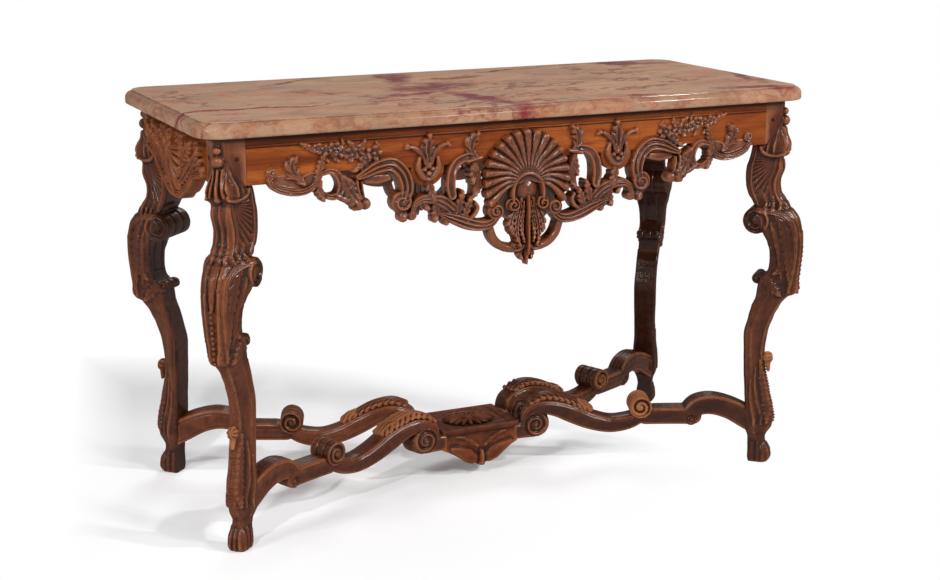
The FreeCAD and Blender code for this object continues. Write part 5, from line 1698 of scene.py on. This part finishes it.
class TABLE_OT_marble_top(Operator):
    """Lay the marble slab with its ovolo edge, small step and rounded corners."""

    bl_idname = "table.marble_top"
    bl_label = "Marble Top"

    def execute(self, context):
        low, high = (np.array(v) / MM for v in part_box("marble_top"))
        half = (high[:2] - low[:2]) / 2
        bottom, top = low[2], high[2]
        profile = [(inset, bottom + up) for inset, up in SLAB_ARRIS]
        for angle in np.linspace(0, math.pi / 2, 12):
            inset, down = SLAB_OVOLO * (1 - math.cos(angle)), SLAB_OVOLO * (1 - math.sin(angle))
            profile.append((inset, top - SLAB_FILLET - down))
        profile += [(inset, top + up) for inset, up in SLAB_CROWN]
        rings = [self.outline(half, inset, z) for inset, z in profile]
        count = len(rings[0])
        points = np.vstack(rings)
        faces = []
        for k in range(len(rings) - 1):
            for n in range(count):
                following = (n + 1) % count
                faces.append((k * count + n, k * count + following,
                              (k + 1) * count + following, (k + 1) * count + n))
        last = (len(rings) - 1) * count
        mesh = bpy.data.meshes.new("marble_top_slab")
        mesh.from_pydata([tuple(p) for p in points * MM], [],
                         faces + [tuple(range(last, last + count)), tuple(range(count))[::-1]])
        mesh.polygons.foreach_set("use_smooth", [True] * len(faces) + [False, False])
        mesh.update()
        mesh.materials.append(finish("marble"))
        add_piece("marble_top_slab", mesh, ["marble_top"])
        return {"FINISHED"}

    def outline(self, half, inset, z):
        """Rounded rectangle, anticlockwise from the right."""
        points = []
        for quarter, (sx, sy) in enumerate(((1, 1), (-1, 1), (-1, -1), (1, -1))):
            for angle in np.linspace(0, math.pi / 2, 15) + quarter * math.pi / 2:
                points.append((sx * (half[0] - SLAB_CORNER) + (SLAB_CORNER - inset) * math.cos(angle),
                               sy * (half[1] - SLAB_CORNER) + (SLAB_CORNER - inset) * math.sin(angle), z))
        return np.array(points)


class TABLE_OT_hidden_timber(Operator):
    """Give the bearers, corner blocks and arm pegs their plain wood."""

    bl_idname = "table.hidden_timber"
    bl_label = "Hidden Timber"

    def execute(self, context):
        for node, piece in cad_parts.items():
            if node.startswith(("bearer", "corner_block", "arm_pegs")):
                piece.data.materials.clear()
                piece.data.materials.append(finish("peg" if node == "arm_pegs" else "inner"))
        return {"FINISHED"}


# Lamps: name, place, aim, size of the square in metres, power in watts
LAMPS = [
    ("key_lamp", (1.3, -3.2, 2.3), (0.1, 0, 0.45), 0.5, 62),
    ("fill_lamp", (-3.4, -1.3, 1.7), (-0.2, 0, 0.5), 0.7, 58),
    ("right_glint_lamp", (2.2, -2.6, 2.6), (0, 0, 0.5), 0.2, 84),
    ("left_glint_lamp", (-2.2, -2.4, 2.9), (0, 0, 0.5), 0.2, 60),
    ("back_lamp", (1.4, 2.6, 3.0), (0, 0, 0.5), 1.6, 60),
]
FLOOR_HALF = 30
# Oval of floor that keeps its shade (middle, turn, half sizes), and turn of the line that bounds it on the left
SHADE_OVAL = ((-0.38, 0.24, 0), 2.178, (0.95, 0.55, 1))
SHADE_SIDE_TURN = 0.229
WORLD_STRENGTH = 0.10
# Camera: width of the picture, lens and shift in its points, sensor in millimetres, place, angle down and right
PICTURE_WIDTH, LENS, SHIFT_X, SHIFT_Y, SENSOR = 940, 1711.15, -27.35, -0.78, 36.0
CAMERA_PLACE, CAMERA_DOWN, CAMERA_RIGHT = (-1.41363, -3.11741, 1.22563), 0.241681, 0.443791


class TABLE_OT_stage(Operator):
    """Set the pale floor, the soft lamps, the surroundings and the camera."""

    bl_idname = "table.stage"
    bl_label = "Stage"

    def execute(self, context):
        scene = context.scene
        scene.view_settings.view_transform = "Standard"
        self.floor(scene)
        self.surroundings(scene)
        for lamp in LAMPS:
            self.lamp(scene, *lamp)
        self.camera(scene)
        return {"FINISHED"}

    def floor(self, scene):
        """Pale floor, white to the eye but for the shade under the table."""
        mesh = bpy.data.meshes.new("studio_floor")
        corners = [(sx * FLOOR_HALF, sy * FLOOR_HALF, 0) for sx, sy in ((-1, -1), (1, -1), (1, 1), (-1, 1))]
        mesh.from_pydata(corners, [], [(0, 1, 2, 3)])
        made = Finish("pale_floor")
        made.surface((0.86, 0.86, 0.87, 1), 0.9)
        made.bump(made.noise(made.mapped(), 90.0), 0.02, 0.0005)
        away = made.maths("MULTIPLY", made.from_oval(made.mapped(), *SHADE_OVAL), 0.5)
        side = made.node("ShaderNodeSeparateXYZ", {0: made.mapped(turn=(0, 0, SHADE_SIDE_TURN))}).outputs["X"]
        clear = made.maths("MAXIMUM", made.ramp(away, [(0.37, 0.16), (0.59, 1.0)]),
                           made.ramp(made.maths("ADD", side, 1.0), [(0.18, 1.0), (0.34, 0.0)]))
        glow = made.node("ShaderNodeEmission", Color=(1, 1, 1, 1), Strength=1.0)
        share = made.maths("MULTIPLY", made.seen(), clear)
        blend = made.node("ShaderNodeMixShader", {0: share, 1: made.shader.outputs[0], 2: glow.outputs[0]})
        made.feed(made.out.inputs["Surface"], blend.outputs[0])
        mesh.materials.append(made.material)
        piece = bpy.data.objects.new("studio_floor", mesh)
        scene.collection.objects.link(piece)

    def surroundings(self, scene):
        """White to the eye, dim as a light."""
        world = bpy.data.worlds.new("studio_white")
        world.use_nodes = True
        room = Tree(world.node_tree)
        room.tree.nodes.clear()
        dim = room.node("ShaderNodeBackground", Color=(1, 0.99, 0.98, 1), Strength=WORLD_STRENGTH)
        white = room.node("ShaderNodeBackground", Color=(1, 1, 1, 1), Strength=1.0)
        blend = room.node("ShaderNodeMixShader", {0: room.seen(), 1: dim.outputs[0], 2: white.outputs[0]})
        room.node("ShaderNodeOutputWorld", Surface=blend.outputs[0])
        scene.world = world

    def lamp(self, scene, name, place, aim, size, power):
        data = bpy.data.lights.new(name, "AREA")
        data.shape = "SQUARE"
        data.size = size
        data.energy = power
        lamp = bpy.data.objects.new(name, data)
        lamp.location = place
        lamp.rotation_euler = (Vector(aim) - Vector(place)).to_track_quat("-Z", "Y").to_euler()
        scene.collection.objects.link(lamp)

    def camera(self, scene):
        data = bpy.data.cameras.new("table_camera")
        data.sensor_width = SENSOR
        data.sensor_fit = "HORIZONTAL"
        data.lens = LENS / PICTURE_WIDTH * SENSOR
        data.shift_x = SHIFT_X / PICTURE_WIDTH
        data.shift_y = SHIFT_Y / PICTURE_WIDTH
        data.clip_end = 100.0
        camera = bpy.data.objects.new("table_camera", data)
        camera.location = CAMERA_PLACE
        camera.rotation_euler = (math.pi / 2 - CAMERA_DOWN, 0, -CAMERA_RIGHT)
        scene.collection.objects.link(camera)
        scene.camera = camera


STEPS = ["marble_top", "long_aprons", "end_aprons", "rail_mouldings", "shells", "legs", "knobs", "beads", "arms",
         "platform", "pegs", "hidden_timber", "stage"]


class TABLE_PT_sidebar(Panel):
    """Sizes, finishes and steps of the table."""

    bl_label = "Centre Table"
    bl_idname = "TABLE_PT_sidebar"
    bl_space_type = "VIEW_3D"
    bl_region_type = "UI"
    bl_category = "Table"

    def draw(self, context):
        for group in (context.scene.table_sizes, context.scene.table_colours):
            for key in group.__annotations__:
                self.layout.prop(group, key)
        for step in STEPS:
            self.layout.operator("table." + step)


CLASSES = (TableSizes, TableColours, TABLE_OT_marble_top, TABLE_OT_long_aprons, TABLE_OT_end_aprons,
           TABLE_OT_rail_mouldings, TABLE_OT_shells, TABLE_OT_legs, TABLE_OT_knobs, TABLE_OT_beads, TABLE_OT_arms,
           TABLE_OT_platform, TABLE_OT_pegs, TABLE_OT_hidden_timber, TABLE_OT_stage, TABLE_PT_sidebar)


def register():
    for made in CLASSES:
        bpy.utils.register_class(made)
    bpy.types.Scene.table_sizes = PointerProperty(type=TableSizes)
    bpy.types.Scene.table_colours = PointerProperty(type=TableColours)


def unregister():
    del bpy.types.Scene.table_colours
    del bpy.types.Scene.table_sizes
    for made in reversed(CLASSES):
        bpy.utils.unregister_class(made)


def main():
    register()
    for step in STEPS:
        getattr(bpy.ops.table, step)()


if __name__ == "__main__":
    main()
